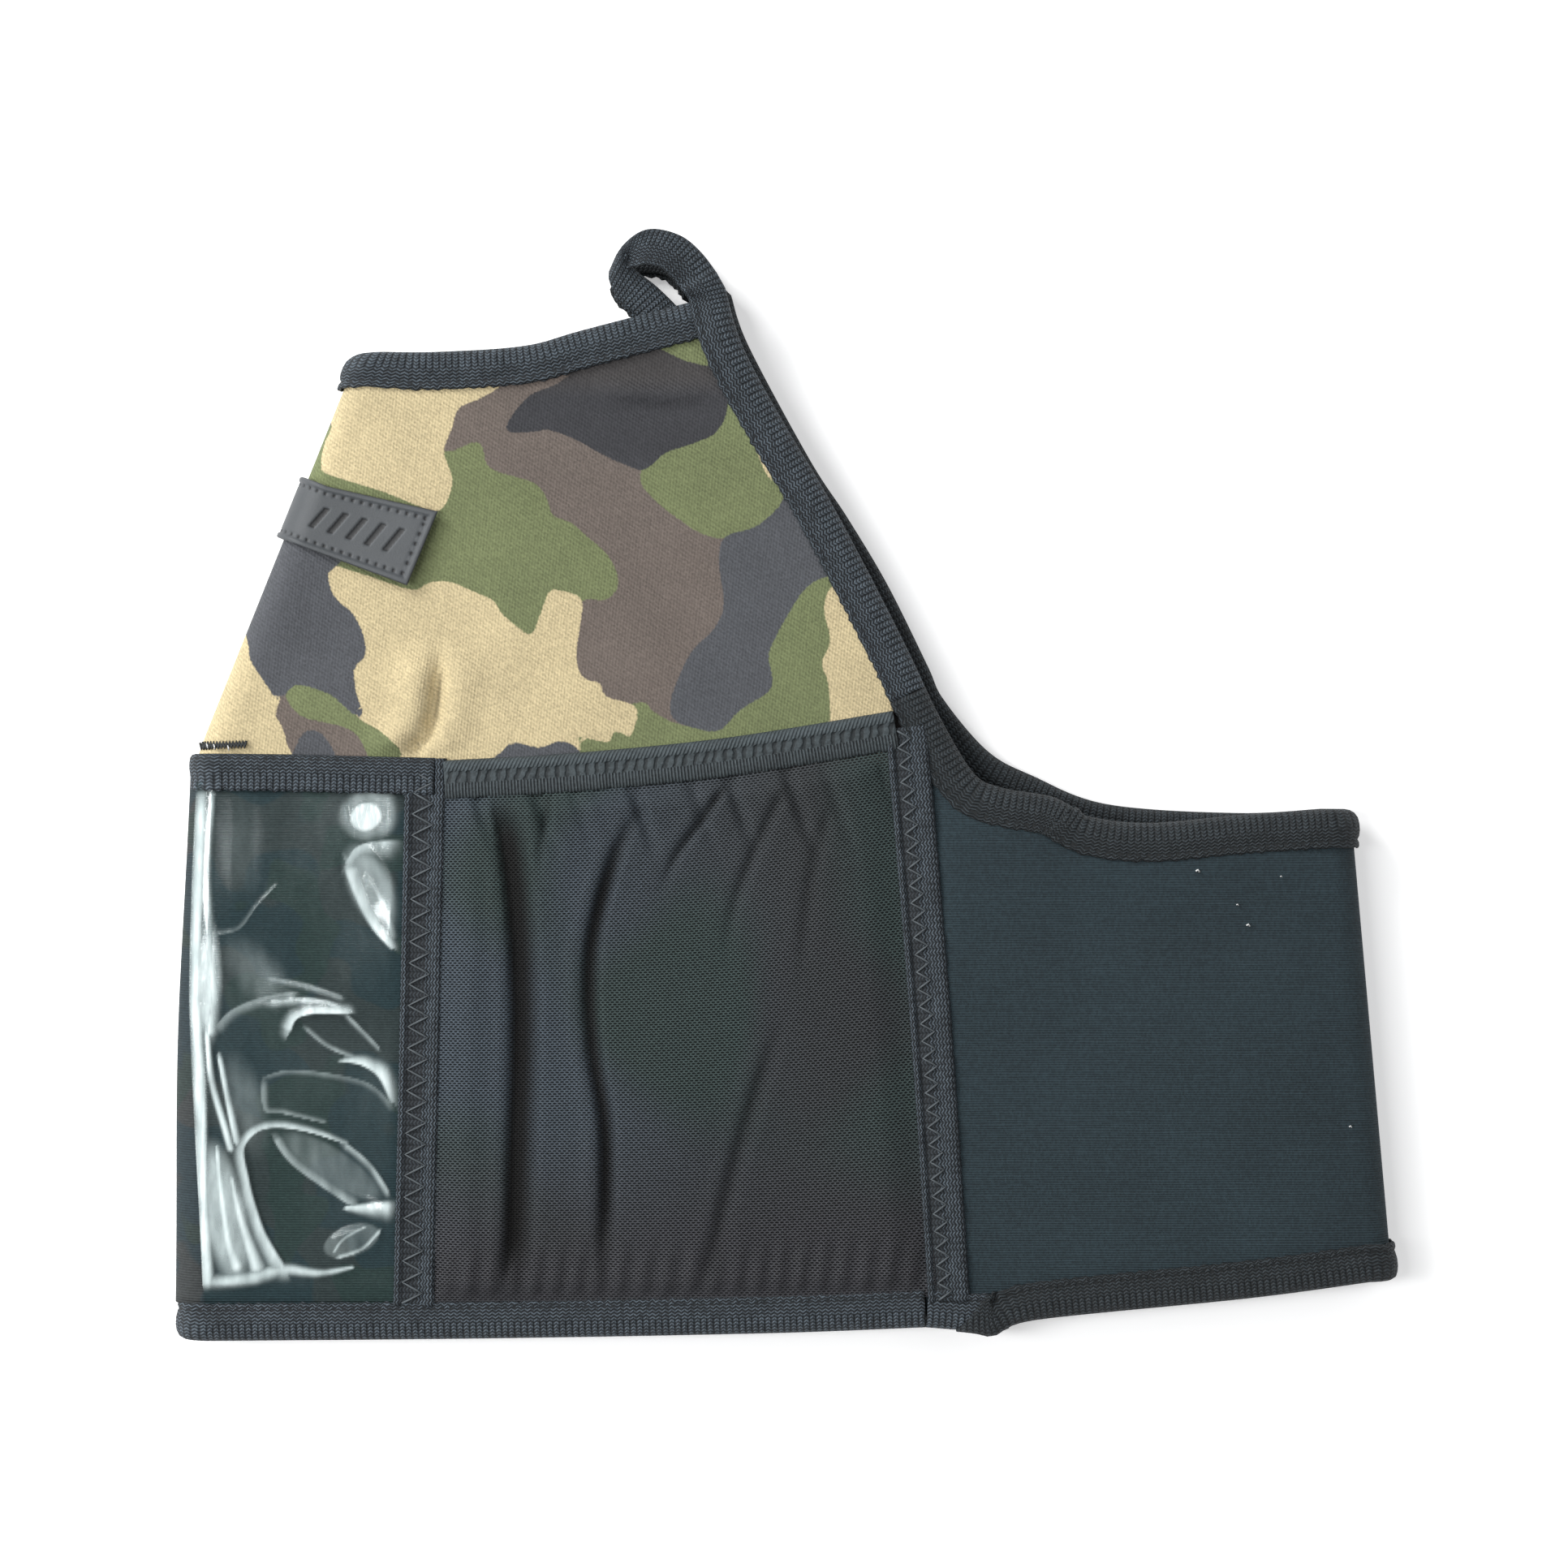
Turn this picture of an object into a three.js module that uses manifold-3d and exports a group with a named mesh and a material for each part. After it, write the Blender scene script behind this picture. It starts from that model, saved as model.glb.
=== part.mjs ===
// A neoprene sleeve with clear windows and mesh pockets, lying folded flat on its far side.
// Units are millimetres. X runs from the front crease to the back crease, Y from the bottom rim
// to the strap loops, and Z up through the folded layers. Every near piece has a far twin below
// the mid-plane between the two sides of the sleeve.
import * as THREE from 'three';
import * as BufferGeometryUtils from 'three/addons/utils/BufferGeometryUtils.js';
import Module from 'manifold-3d';

const wasm = await Module();
wasm.setup();

// Levels of the layers, counted out from the mid-plane
const MID = 7.8;                 // height of the mid-plane above the surface it lies on
const GAP = 0.3;                 // room between two pieces that touch
const NEOPRENE_IN = 3.3;
const NEOPRENE_OUT = 6.3;
const LEG_IN = [2.2, 3.0];       // the binding's leg inside the sleeve
const TRIM = [6.6, 7.8];         // tapes and the binding's leg outside the sleeve
const BACKING = [6.6, 7.0];
const VINYL = [7.3, 7.6];
const MESH_NEAR = [6.6, 8.8];
const MESH_FAR = [6.6, 7.8];
const SIDE_TAPE_LEVEL = { near: [7.0, 8.0], far: [6.6, 7.8] };

// Binding tape and seams
const BIND = 9.1;                // visible width of the folded binding tape
const BIND_IN = 8.0;             // width of its inner leg
const WEB = 0.8;                 // thickness of the fold round the raw edge
const LIP = 0.6;                 // how far a turn runs into the flat layer that it joins
const KNEE_LIP = 0.1;            // the same for the panel above the crease's bend
const HEAD_LIP = 5.0;            // the same for the binding over the slanting head
const SEAM_X = 32.3;             // the seam that joins the front panel to the back panel
const SEAM_ROOM = 0.75;          // half the room left open at the seam

// Creases: the centre lines of the two folds, from the bottom rim upwards
const FRONT_CREASE = [[-136.6, -130.2], [-132.8, 6.6], [-96.6, 96.9]];
const BACK_CREASE = [[136.6, -116.4], [126.6, -5.4]];
const KNEE_OVERLAP = 0.012;      // share of a crease that the panel's two turns run past the bend
const HEAD_PAST = 1.1;           // share of the upper crease that pieces reach before they are cut square
const RIM_START = 0.93;          // share of the upper crease at which its binding starts
const BACK_PANEL_HEAD = 0.98;    // share of the back crease that the panel turns along

// Edges of the sleeve, along the outside of the binding, from left to right
const TOP_EDGE = [[-95.0, 101.9], [-81.8, 101.9], [-61.8, 103.3], [-48.4, 106.9], [-24.2, 113.2]];
const SLOPE_EDGE = {
  near: [[-14.6, 116.6], [-10.5, 103.1], [-1.0, 85.4], [8.6, 69.4], [18.9, 50.3], [28.6, 31.1], [35.1, 17.4]],
  far: [[-13.4, 116.6], [-9.2, 104.5], [5.4, 77.4], [14.2, 63.9], [23.8, 47.8], [33.3, 28.6], [37.1, 20.6]],
};
const BACK_TOP_EDGE = {
  near: [[28.6, 31.1], [35.1, 17.4], [43.4, 3.4], [50.1, -0.3], [62.4, -2.6], [71.5, -7.2], [85.4, -8.6],
    [106.7, -6.7], [126.6, -5.4]],
  far: [[28.0, 38.7], [37.1, 20.6], [47.6, 8.3], [58.4, 2.4], [75.9, -4.3], [106.7, -6.4], [126.6, -5.4]],
};
const BOTTOM_EDGE_FRONT = [[-136.6, -130.2], [-70.0, -129.6], [-5.0, -128.4], [SEAM_X, -127.0]];
const BOTTOM_EDGE_BACK = [[SEAM_X, -127.0], [49.3, -127.9], [59.6, -125.1], [108.2, -120.2], [136.6, -116.4]];

// Pockets and trims on the front panel
const WINDOW_TAPE = [[-89.6, 7.2], [-79.7, 7.2], [-83.2, -120.0], [-92.3, -120.0]];
const WINDOW_TOP = [[-132.8, 7.7], [-89.9, 6.8], [-89.9, -1.2], [-133.0, -0.7]];
const VINYL_SHEET = [[-138.6, -1.5], [-90.1, -1.5], [-92.6, -119.3], [-136.5, -119.3]];
const BACKING_SHEET = [[-133.0, -1.5], [-90.1, -1.5], [-92.6, -119.3], [-136.2, -119.3]];
const BACKING_TURN = [0.076, 0.94];  // shares of the lower crease between which the backing turns
const WINDOW_TOP_TURN = [0.945, 1.006];
const ELASTIC_TOP = [[-79.2, 6.2], [-50.8, 7.7], [-14.5, 11.3], [21.0, 17.2]];
const ELASTIC_BOTTOM = [[-79.5, -1.8], [-50.8, -1.1], [-17.4, 1.6], [21.8, 8.2]];
const MESH_TOP = [[-79.6, -2.1], [-50.8, -1.4], [-17.4, 1.3], [22.0, 7.9]];
const MESH_FLOOR = [[32.6, -117.2], [-5.0, -118.6], [-82.9, -119.7]];
const SIDE_TAPE = [[22.6, 14.2], [31.6, 4.4], [42.9, -117.6], [33.3, -117.5]];

// Rubber label, folded round the front crease
const LABEL = [[-107.4, 70.6], [-81.6, 64.1], [-88.8, 46.8], [-113.3, 56.1]];
const LABEL_LEVEL = [6.6, 7.8];
const LABEL_TURN = [[-113.1, 55.8], [-107.4, 70.0]];

// Strap loop: a folded tape that runs out from the top corner, round its tip and back below itself.
// Its side view gives the reach from the corner and the level, and the strands lie side by side.
const LOOP_BASE = [-19.0, 108.3];
const LOOP_ANGLE = 141;          // degrees from +X to the direction the loop points in
const LOOP_WIDTH = 9.0;
const LOOP_TAPE = 2.0;
const LOOP_SIDE = [[-6.0, 0.62], [4.0, 0.80], [14.0, 1.0], [21.0, 0.97], [25.5, 0.72], [26.0, 0.42],
  [22.5, 0.1], [14.0, 0.0], [0.0, 0.0]];
const LOOP_LEVEL = { near: [0.5, 12.4], far: [0.5, 7.5] };
const LOOP_SPREAD = [-4.6, 4.6]; // middle of the lower and the upper strand, across the loop
const LOOP_ROOM = 3.6;           // clear way between the loop's ends and the binding
const CORNER_INSIDE = [[0, 20], [-90, 20]];  // closes the corner's outline across the panel
const CORNER_LEVEL = [-1, 20];   // levels between which the loop is cut clear of the corner

// How finely curves are drawn, in stretches from one point to the next
const EDGE_STEPS = 10;
const TOP_STEPS = 12;
const SLOPE_STEPS = 14;
const BACK_TOP_STEPS = 22;
const LOOP_STEPS = 30;
const TURN_STEPS = 4;
const WELD = 1e-4;               // corners closer than this are one
const CUTTER = 400;              // size of the blocks that cut pieces off, larger than the sleeve

const rubber = new THREE.MeshStandardMaterial({ color: 0x2b2d2f, roughness: 0.6, metalness: 0 });
const camo = new THREE.MeshStandardMaterial({ color: 0x7d7354, roughness: 0.9, metalness: 0 });
const neoprene = new THREE.MeshStandardMaterial({ color: 0x141a1a, roughness: 0.95, metalness: 0 });
const binding = new THREE.MeshStandardMaterial({ color: 0x22272b, roughness: 0.8, metalness: 0 });
const mesh = new THREE.MeshStandardMaterial({ color: 0x17191c, roughness: 0.85, metalness: 0 });
const knit = new THREE.MeshStandardMaterial({ color: 0x0f1112, roughness: 0.9, metalness: 0 });
const vinyl = new THREE.MeshStandardMaterial({ color: 0xdfe8ec, roughness: 0.1, metalness: 0 });

const part = new THREE.Group();

// ---- Outlines -------------------------------------------------------------------------------

// A smooth line through a few points
function smooth(points, steps = EDGE_STEPS) {
  const spline = new THREE.SplineCurve(points.map(([x, y]) => new THREE.Vector2(x, y)));
  return spline.getPoints(steps).map((p) => [p.x, p.y]);
}

// The same line moved sideways, to its right as it runs from its first point to its last
function shifted(line, distance) {
  return line.map(([x, y], i) => {
    const before = line[Math.max(i - 1, 0)];
    const after = line[Math.min(i + 1, line.length - 1)];
    const length = Math.hypot(after[0] - before[0], after[1] - before[1]);
    const right = [(after[1] - before[1]) / length, -(after[0] - before[0]) / length];
    return [x + right[0] * distance, y + right[1] * distance];
  });
}

// The outline of a strip between two distances from a line
function strip(line, near, far) {
  return [...shifted(line, near), ...shifted(line, far).reverse()];
}

// ---- Solids ---------------------------------------------------------------------------------

// A flat layer of cloth between two levels
function slab(outline, [low, high]) {
  const shape = new THREE.Shape(outline.map(([x, y]) => new THREE.Vector2(x, y)));
  const layer = new THREE.ExtrudeGeometry(shape, { depth: high - low, bevelEnabled: false });
  return layer.translate(0, 0, low);
}

// The quarter round that a layer makes at a crease, from just above the mid-plane to its flat
function turn([from, to], [inner, outer], outward, lip = LIP) {
  const run = new THREE.Vector3(to[0] - from[0], to[1] - from[1], 0);
  const quarter = (radius) => {
    const start = Math.asin(GAP / 2 / radius);
    const corners = [];
    for (let i = 0; i <= TURN_STEPS; i += 1) {
      const angle = start + (Math.PI / 2 - start) * (i / TURN_STEPS);
      corners.push(new THREE.Vector2(radius * Math.cos(angle), radius * Math.sin(angle)));
    }
    return corners;
  };
  const ends = [new THREE.Vector2(-lip, outer), new THREE.Vector2(-lip, inner)];
  const sector = [...quarter(outer), ...ends, ...quarter(inner).reverse()];
  const outline = new THREE.Shape(sector);
  const ring = new THREE.ExtrudeGeometry(outline, { depth: run.length(), bevelEnabled: false });
  const along = run.clone().normalize();
  const side = new THREE.Vector3(-along.y, along.x, 0).multiplyScalar(outward);
  const frame = new THREE.Matrix4().makeBasis(side, new THREE.Vector3(0, 0, 1), along);
  frame.setPosition(from[0], from[1], 0);
  ring.applyMatrix4(frame);
  return frame.determinant() < 0 ? flipped(ring) : ring;
}

// The same surface with its faces turned the other way
function flipped(geometry) {
  const plain = geometry.index ? geometry.toNonIndexed() : geometry;
  const position = plain.attributes.position;
  for (let i = 0; i < position.count; i += 3) {
    const first = new THREE.Vector3().fromBufferAttribute(position, i);
    const second = new THREE.Vector3().fromBufferAttribute(position, i + 1);
    position.setXYZ(i, second.x, second.y, second.z);
    position.setXYZ(i + 1, first.x, first.y, first.z);
  }
  return plain;
}

// A closed surface as a solid that can be joined and cut
function solid(geometry) {
  const bare = geometry.clone();
  bare.deleteAttribute('normal');
  bare.deleteAttribute('uv');
  const merged = BufferGeometryUtils.mergeVertices(bare, WELD);
  return new wasm.Manifold(new wasm.Mesh({
    numProp: 3,
    vertProperties: merged.attributes.position.array,
    triVerts: new Uint32Array(merged.index.array),
  }));
}

// Pieces joined into one, with others taken away from it
function joined(pieces, cuts = []) {
  let whole = solid(pieces[0]);
  for (const piece of pieces.slice(1)) {
    whole = whole.add(solid(piece));
  }
  for (const cut of cuts) {
    whole = whole.subtract(solid(cut));
  }
  const { vertProperties, triVerts } = whole.getMesh();
  const geometry = new THREE.BufferGeometry();
  geometry.setAttribute('position', new THREE.BufferAttribute(new Float32Array(vertProperties), 3));
  geometry.setIndex([...triVerts]);
  return geometry;
}

// Names one piece and puts it on its side of the mid-plane
function place(name, side, geometry, material) {
  const plain = side === 'far' ? flipped(geometry.clone().scale(1, 1, -1)) : geometry;
  const piece = new THREE.Mesh(plain, material);
  piece.name = `${name}_${side}`;
  piece.position.z = MID;
  part.add(piece);
}

// A folded tape that wraps an edge: a leg on each face of the cloth and a web round its raw edge
function channel(line) {
  return [
    slab(strip(line, 0, BIND), TRIM),
    slab(strip(line, 0, WEB), [LEG_IN[0], TRIM[1]]),
    slab(strip(line, 0, BIND_IN), LEG_IN),
  ];
}

// The same tape where it goes round a crease; the edge is at the end of the run named first
function channelTurn(edgePoint, inwardPoint, outward) {
  const piece = (distance, level) => (
    turn([edgePoint, towards(edgePoint, inwardPoint, distance)], level, outward)
  );
  return [piece(BIND, TRIM), piece(WEB, [LEG_IN[0], TRIM[1]]), piece(BIND_IN, LEG_IN)];
}

const cutter = new THREE.BoxGeometry(CUTTER, CUTTER, CUTTER);

// Everything above a level across the sleeve, for cutting the slanting head of the front crease square
function above(y) {
  return cutter.clone().translate(0, y + CUTTER / 2, 0);
}

// Everything below such a level
function below(y) {
  return cutter.clone().translate(0, y - CUTTER / 2, 0);
}

// Everything on one side of the seam, for ending the pieces of each panel short of it
const afterSeam = cutter.clone().translate(SEAM_X - SEAM_ROOM + CUTTER / 2, 0, 0);
const beforeSeam = cutter.clone().translate(SEAM_X + SEAM_ROOM - CUTTER / 2, 0, 0);

// A point on a line between two others
function between(from, to, share) {
  return from.map((value, i) => value + (to[i] - value) * share);
}

// A point some millimetres from one point towards another
function towards(from, to, distance) {
  return between(from, to, distance / Math.hypot(to[0] - from[0], to[1] - from[1]));
}

// The strap loop on its own axes: the side view is drawn, widened, skewed and turned to its direction
function strapLoop([low, high]) {
  const side = smooth(LOOP_SIDE, LOOP_STEPS).map(([reach, share]) => [reach, low + (high - low) * share]);
  const outline = strip(side, 0, LOOP_TAPE).map(([reach, level]) => new THREE.Vector2(reach, level));
  const section = new THREE.Shape(outline);
  const tape = new THREE.ExtrudeGeometry(section, { depth: LOOP_WIDTH, bevelEnabled: false });
  const angle = THREE.MathUtils.degToRad(LOOP_ANGLE);
  const reachAxis = new THREE.Vector3(Math.cos(angle), Math.sin(angle), 0);
  const widthAxis = new THREE.Vector3(Math.sin(angle), -Math.cos(angle), 0);
  const skew = (LOOP_SPREAD[1] - LOOP_SPREAD[0]) / (high - low - LOOP_TAPE);
  const levelAxis = widthAxis.clone().multiplyScalar(skew).add(new THREE.Vector3(0, 0, 1));
  const across = LOOP_SPREAD[0] - LOOP_WIDTH / 2 - skew * (low + LOOP_TAPE / 2);
  tape.applyMatrix4(new THREE.Matrix4().makeBasis(reachAxis, levelAxis, widthAxis)
    .setPosition(LOOP_BASE[0] + widthAxis.x * across, LOOP_BASE[1] + widthAxis.y * across, 0));
  return tape;
}

// ---- The pieces -----------------------------------------------------------------------------

const edgeRoom = WEB + GAP;
const bottomFront = smooth(BOTTOM_EDGE_FRONT);
const bottomBack = smooth(BOTTOM_EDGE_BACK);
const [creaseFoot, creaseKnee, creaseHead] = FRONT_CREASE;
const [backFoot, backHead] = BACK_CREASE;
const headY = TOP_EDGE[0][1];
const aboveHead = between(creaseKnee, creaseHead, HEAD_PAST);

for (const side of ['near', 'far']) {
  const slope = smooth(SLOPE_EDGE[side], SLOPE_STEPS);
  const top = smooth(TOP_EDGE, TOP_STEPS);
  const backTop = smooth(BACK_TOP_EDGE[side], BACK_TOP_STEPS);

  // Front panel: camouflage neoprene from the crease to the seam, bound on every free edge
  const panelTop = shifted(top, edgeRoom);
  const panelSlope = shifted(slope, edgeRoom);
  const panelBottom = shifted(bottomFront, -edgeRoom);
  const frontOutline = [
    ...panelBottom,
    ...panelSlope.reverse(),
    ...panelTop.reverse(),
    creaseHead,
    creaseKnee,
  ];
  const neopreneLevel = [NEOPRENE_IN, NEOPRENE_OUT];
  const pastKnee = between(creaseFoot, creaseKnee, 1 + KNEE_OVERLAP);
  place('front_panel', side, joined([
    slab(frontOutline, neopreneLevel),
    turn([towards(creaseFoot, creaseKnee, edgeRoom), pastKnee], neopreneLevel, 1),
    turn([between(creaseKnee, creaseHead, -KNEE_OVERLAP), aboveHead], neopreneLevel, 1, KNEE_LIP),
  ], [above(headY - edgeRoom), afterSeam]), camo);

  // Back panel: plain black neoprene from the seam to the back crease
  const backPanelHead = between(backFoot, backHead, BACK_PANEL_HEAD);
  const backOutline = [
    ...shifted(bottomBack, -edgeRoom),
    backPanelHead,
    ...shifted(backTop, edgeRoom).reverse(),
  ];
  place('back_panel', side, joined([
    slab(backOutline, neopreneLevel),
    turn([towards(backFoot, backHead, edgeRoom), backPanelHead], neopreneLevel, -1),
  ], [beforeSeam]), neoprene);

  // Window pocket: knit backing, clear vinyl, a bound mouth and an elastic tape down its side
  place('window_backing', side, joined([
    slab(BACKING_SHEET, BACKING),
    turn(BACKING_TURN.map((share) => between(creaseFoot, creaseKnee, share)), BACKING, 1),
  ]), knit);
  place('window', side, slab(VINYL_SHEET, VINYL), vinyl);
  place('window_top_binding', side, joined([
    slab(WINDOW_TOP, TRIM),
    turn(WINDOW_TOP_TURN.map((share) => between(creaseFoot, creaseKnee, share)), TRIM, 1),
  ]), binding);
  place('window_tape', side, slab(WINDOW_TAPE, TRIM), binding);

  // Mesh pocket with its elastic mouth
  const elastic = [...smooth(ELASTIC_TOP), ...smooth(ELASTIC_BOTTOM).reverse()];
  place('pocket_elastic', side, slab(elastic, TRIM), binding);
  place('mesh_pocket', side, slab([...smooth(MESH_TOP), ...smooth(MESH_FLOOR)],
    side === 'near' ? MESH_NEAR : MESH_FAR), mesh);

  // Tape over the seam between the two panels
  place('side_tape', side, slab(SIDE_TAPE, SIDE_TAPE_LEVEL[side]), binding);

  // Folded binding on each free edge
  const rimHead = [between(creaseKnee, creaseHead, RIM_START), aboveHead];
  const rimTurn = (level) => turn(rimHead, level, 1, HEAD_LIP);
  place('top_binding', side, joined([
    ...channel(top),
    joined([rimTurn(TRIM), rimTurn(LEG_IN)], [above(headY), below(headY - BIND_IN)]),
    joined([rimTurn([LEG_IN[0], TRIM[1]])], [above(headY), below(headY - WEB)]),
  ]), binding);
  place('slope_binding', side, joined(channel(slope), [afterSeam]), binding);
  place('bottom_binding_front', side, joined([
    ...channel(bottomFront.slice().reverse()),
    ...channelTurn(creaseFoot, creaseKnee, 1),
  ], [afterSeam]), binding);
  place('back_top_binding', side, joined([
    ...channel(backTop),
    ...channelTurn(backHead, backFoot, 1),
  ], [beforeSeam]), binding);
  place('bottom_binding_back', side, joined([
    ...channel(bottomBack.slice().reverse()),
    ...channelTurn(backFoot, backHead, -1),
  ], [beforeSeam]), binding);

  // Strap loop in the top corner, clear of the bindings that it is sewn into
  const corner = [...shifted(top, -LOOP_ROOM), ...shifted(slope, -LOOP_ROOM), ...CORNER_INSIDE];
  place('strap_loop', side, joined([strapLoop(LOOP_LEVEL[side])], [slab(corner, CORNER_LEVEL)]), binding);

  // Rubber label, half on each side of the crease
  place('label', side, joined([slab(LABEL, LABEL_LEVEL), turn(LABEL_TURN, LABEL_LEVEL, 1)]), rubber);
}

export default part;
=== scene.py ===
"""A neoprene bottle sleeve with camouflage front, clear windows and mesh pockets, lying folded flat."""

import math

import bmesh
import bpy
import numpy as np
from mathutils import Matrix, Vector


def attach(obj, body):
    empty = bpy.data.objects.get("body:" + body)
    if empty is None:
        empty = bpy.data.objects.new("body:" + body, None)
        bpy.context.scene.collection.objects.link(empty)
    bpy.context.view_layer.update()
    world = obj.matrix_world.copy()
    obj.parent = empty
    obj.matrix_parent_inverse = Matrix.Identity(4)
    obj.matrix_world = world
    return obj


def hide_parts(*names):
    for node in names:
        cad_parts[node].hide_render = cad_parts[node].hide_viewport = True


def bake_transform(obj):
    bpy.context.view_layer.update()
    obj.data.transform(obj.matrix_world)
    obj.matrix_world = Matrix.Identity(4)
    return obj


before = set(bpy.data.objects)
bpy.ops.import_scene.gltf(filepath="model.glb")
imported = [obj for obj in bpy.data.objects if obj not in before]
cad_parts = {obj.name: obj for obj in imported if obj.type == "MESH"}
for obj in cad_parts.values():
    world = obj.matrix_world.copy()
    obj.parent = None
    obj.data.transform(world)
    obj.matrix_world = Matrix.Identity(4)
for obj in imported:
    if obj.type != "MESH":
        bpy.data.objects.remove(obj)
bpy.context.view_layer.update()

# ---- Stage ------------------------------------------------------------------------------------
# A pale floor under soft light, seen from straight above. The two narrow softboxes on the left
# give the clear windows something to reflect.

camera_data = bpy.data.cameras.new("camera")
camera_data.lens = 70
camera = bpy.data.objects.new("camera", camera_data)
camera.location = (-0.00086, 0.00048, 0.728)
bpy.context.scene.collection.objects.link(camera)
bpy.context.scene.camera = camera
bpy.context.scene.view_settings.view_transform = "Standard"


def softbox(name, place, size, power):
    """A soft rectangular light that faces the sleeve and isn't seen itself"""
    data = bpy.data.lights.new(name, "AREA")
    data.shape = "RECTANGLE"
    data.size, data.size_y = size
    data.energy = power
    light = bpy.data.objects.new(name, data)
    light.location = place
    light.rotation_euler = (-Vector(place)).to_track_quat("-Z", "Y").to_euler()
    light.visible_camera = False
    bpy.context.scene.collection.objects.link(light)


softbox("light_left", (-0.95, 0.75, 0.75), (0.5, 0.5), 13.5)
softbox("light_right", (0.9, 0.5, 1.2), (0.8, 0.8), 4)
softbox("light_window", (-0.52, 0.0, 0.85), (0.16, 0.6), 5)
softbox("light_low_left", (-1.1, -0.2, 0.42), (0.2, 0.9), 2)

world = bpy.data.worlds.new("studio")
world.use_nodes = True
sky = world.node_tree.nodes["Background"].inputs
sky["Color"].default_value = (0.97, 0.98, 1.0, 1)
sky["Strength"].default_value = 0.30
bpy.context.scene.world = world

stage = bmesh.new()
bmesh.ops.create_grid(stage, x_segments=1, y_segments=1, size=3)
bmesh.ops.translate(stage, verts=stage.verts, vec=(0, 0, -0.0002))
floor_mesh = bpy.data.meshes.new("floor")
stage.to_mesh(floor_mesh)
stage.free()
floor = bpy.data.objects.new("floor", floor_mesh)
bpy.context.scene.collection.objects.link(floor)
paper = bpy.data.materials.new("floor_paper")
paper.use_nodes = True
paper_sockets = paper.node_tree.nodes["Principled BSDF"].inputs
paper_sockets["Base Color"].default_value = (0.93, 0.93, 0.93, 1)
paper_sockets["Roughness"].default_value = 0.9
paper_sockets["Emission Color"].default_value = (1, 1, 1, 1)
paper_sockets["Emission Strength"].default_value = 0.35
floor_mesh.materials.append(paper)

# ---- Front panel ------------------------------------------------------------------------------
# Three millimetres of neoprene foam with camouflage printed knit outside and a black lining. One
# piece wraps the front crease and is cut as a slope towards the strap loops. A short dart over
# the pockets and a few soft bulges show where a bottle has stretched it.

MID = 7.8  # millimetres from the floor to the mid-plane; levels are counted from it
NEOPRENE = 3.0
PANEL_LEVEL = 6.3
SEAM_X = 32.3
PANEL_INSET = 3.0  # the raw edges lie this far inside the folded binding
FRONT_CREASE = [(-136.7, -133.0), (-132.8, 6.6), (-94.0, 103.4)]
TOP_EDGE = [(-95.0, 101.9), (-81.8, 101.9), (-61.8, 103.3), (-48.4, 106.9), (-24.2, 113.2)]
SLOPE = {
    1: [(-14.6, 116.6), (-10.5, 103.1), (-1.0, 85.4), (8.6, 69.4), (18.9, 50.3), (28.6, 31.1), (35.1, 17.4)],
    -1: [(-13.4, 116.6), (-9.2, 104.5), (5.4, 77.4), (14.2, 63.9), (23.8, 47.8), (33.3, 28.6), (37.1, 20.6)],
}
BOTTOM_FRONT = [(-136.6, -130.2), (-70.0, -129.6), (-5.0, -128.4), (SEAM_X, -127.0)]


def smooth_line(points, closed=False, steps=12):
    """Close points on a smooth line through a few"""
    knots = np.array(points, float)
    count = len(knots)
    share = np.linspace(0, 1, steps, endpoint=False)[:, None]
    spans = []
    for i in range(count if closed else count - 1):
        picks = [i - 1, i, i + 1, i + 2]
        picks = [p % count if closed else min(max(p, 0), count - 1) for p in picks]
        a, b, c, d = knots[picks]
        cubic = (3 * b - a - 3 * c + d) * share + 2 * a - 5 * b + 4 * c - d
        spans.append((cubic * share ** 2 + (c - a) * share + 2 * b) / 2)
    return np.vstack(spans + [knots[:1] if closed else knots[-1:]])


def lengths(line):
    """How far along a line each of its points is"""
    return np.concatenate([[0], np.cumsum(np.linalg.norm(np.diff(line, axis=0), axis=1))])


def walk(line, share):
    """The points at given shares of a line's length"""
    along = lengths(line)
    return np.stack([np.interp(share * along[-1], along, line[:, k]) for k in range(line.shape[1])], 1)


def left_of(line):
    """The way to the left at each point of a line"""
    run = np.gradient(line, axis=0)
    run /= np.linalg.norm(run, axis=1)[:, None]
    return np.stack([-run[:, 1], run[:, 0]], 1)


def patch(left, right, bottom, top):
    """The flat sheet between four edges, as a function of the shares across and up"""
    def point(across, up):
        edges = walk(left, up), walk(right, up), walk(bottom, across), walk(top, across)
        across, up = across[:, None], up[:, None]
        corners = (bottom[0] * (1 - across) + bottom[-1] * across) * (1 - up)
        corners = corners + (top[0] * (1 - across) + top[-1] * across) * up
        return edges[0] * (1 - across) + edges[1] * across + edges[2] * (1 - up) + edges[3] * up - corners
    return point


def crease_x(y):
    """Where the front crease's centre line is at a height"""
    return np.interp(y, [p[1] for p in FRONT_CREASE], [p[0] for p in FRONT_CREASE])


def round_front(reach, y, level):
    """A layer round the front crease: the reach goes over the near face, and below zero round the fold
    and over the far face"""
    arc = np.clip(-reach / level, 0, math.pi)
    flat = np.maximum(reach, 0) + np.maximum(-reach - math.pi * level, 0)
    slant = 1 + 0.077 * np.clip((y - 2) / 10, 0, 1)
    return np.stack([crease_x(y) + flat - slant * level * np.sin(arc), y, level * np.cos(arc)], 1)


def finished(name, shape):
    """The object for a finished shape"""
    mesh = bpy.data.meshes.new(name)
    shape.to_mesh(mesh)
    shape.free()
    mesh.shade_smooth()
    piece = bpy.data.objects.new(name, mesh)
    bpy.context.scene.collection.objects.link(piece)
    return piece


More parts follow.
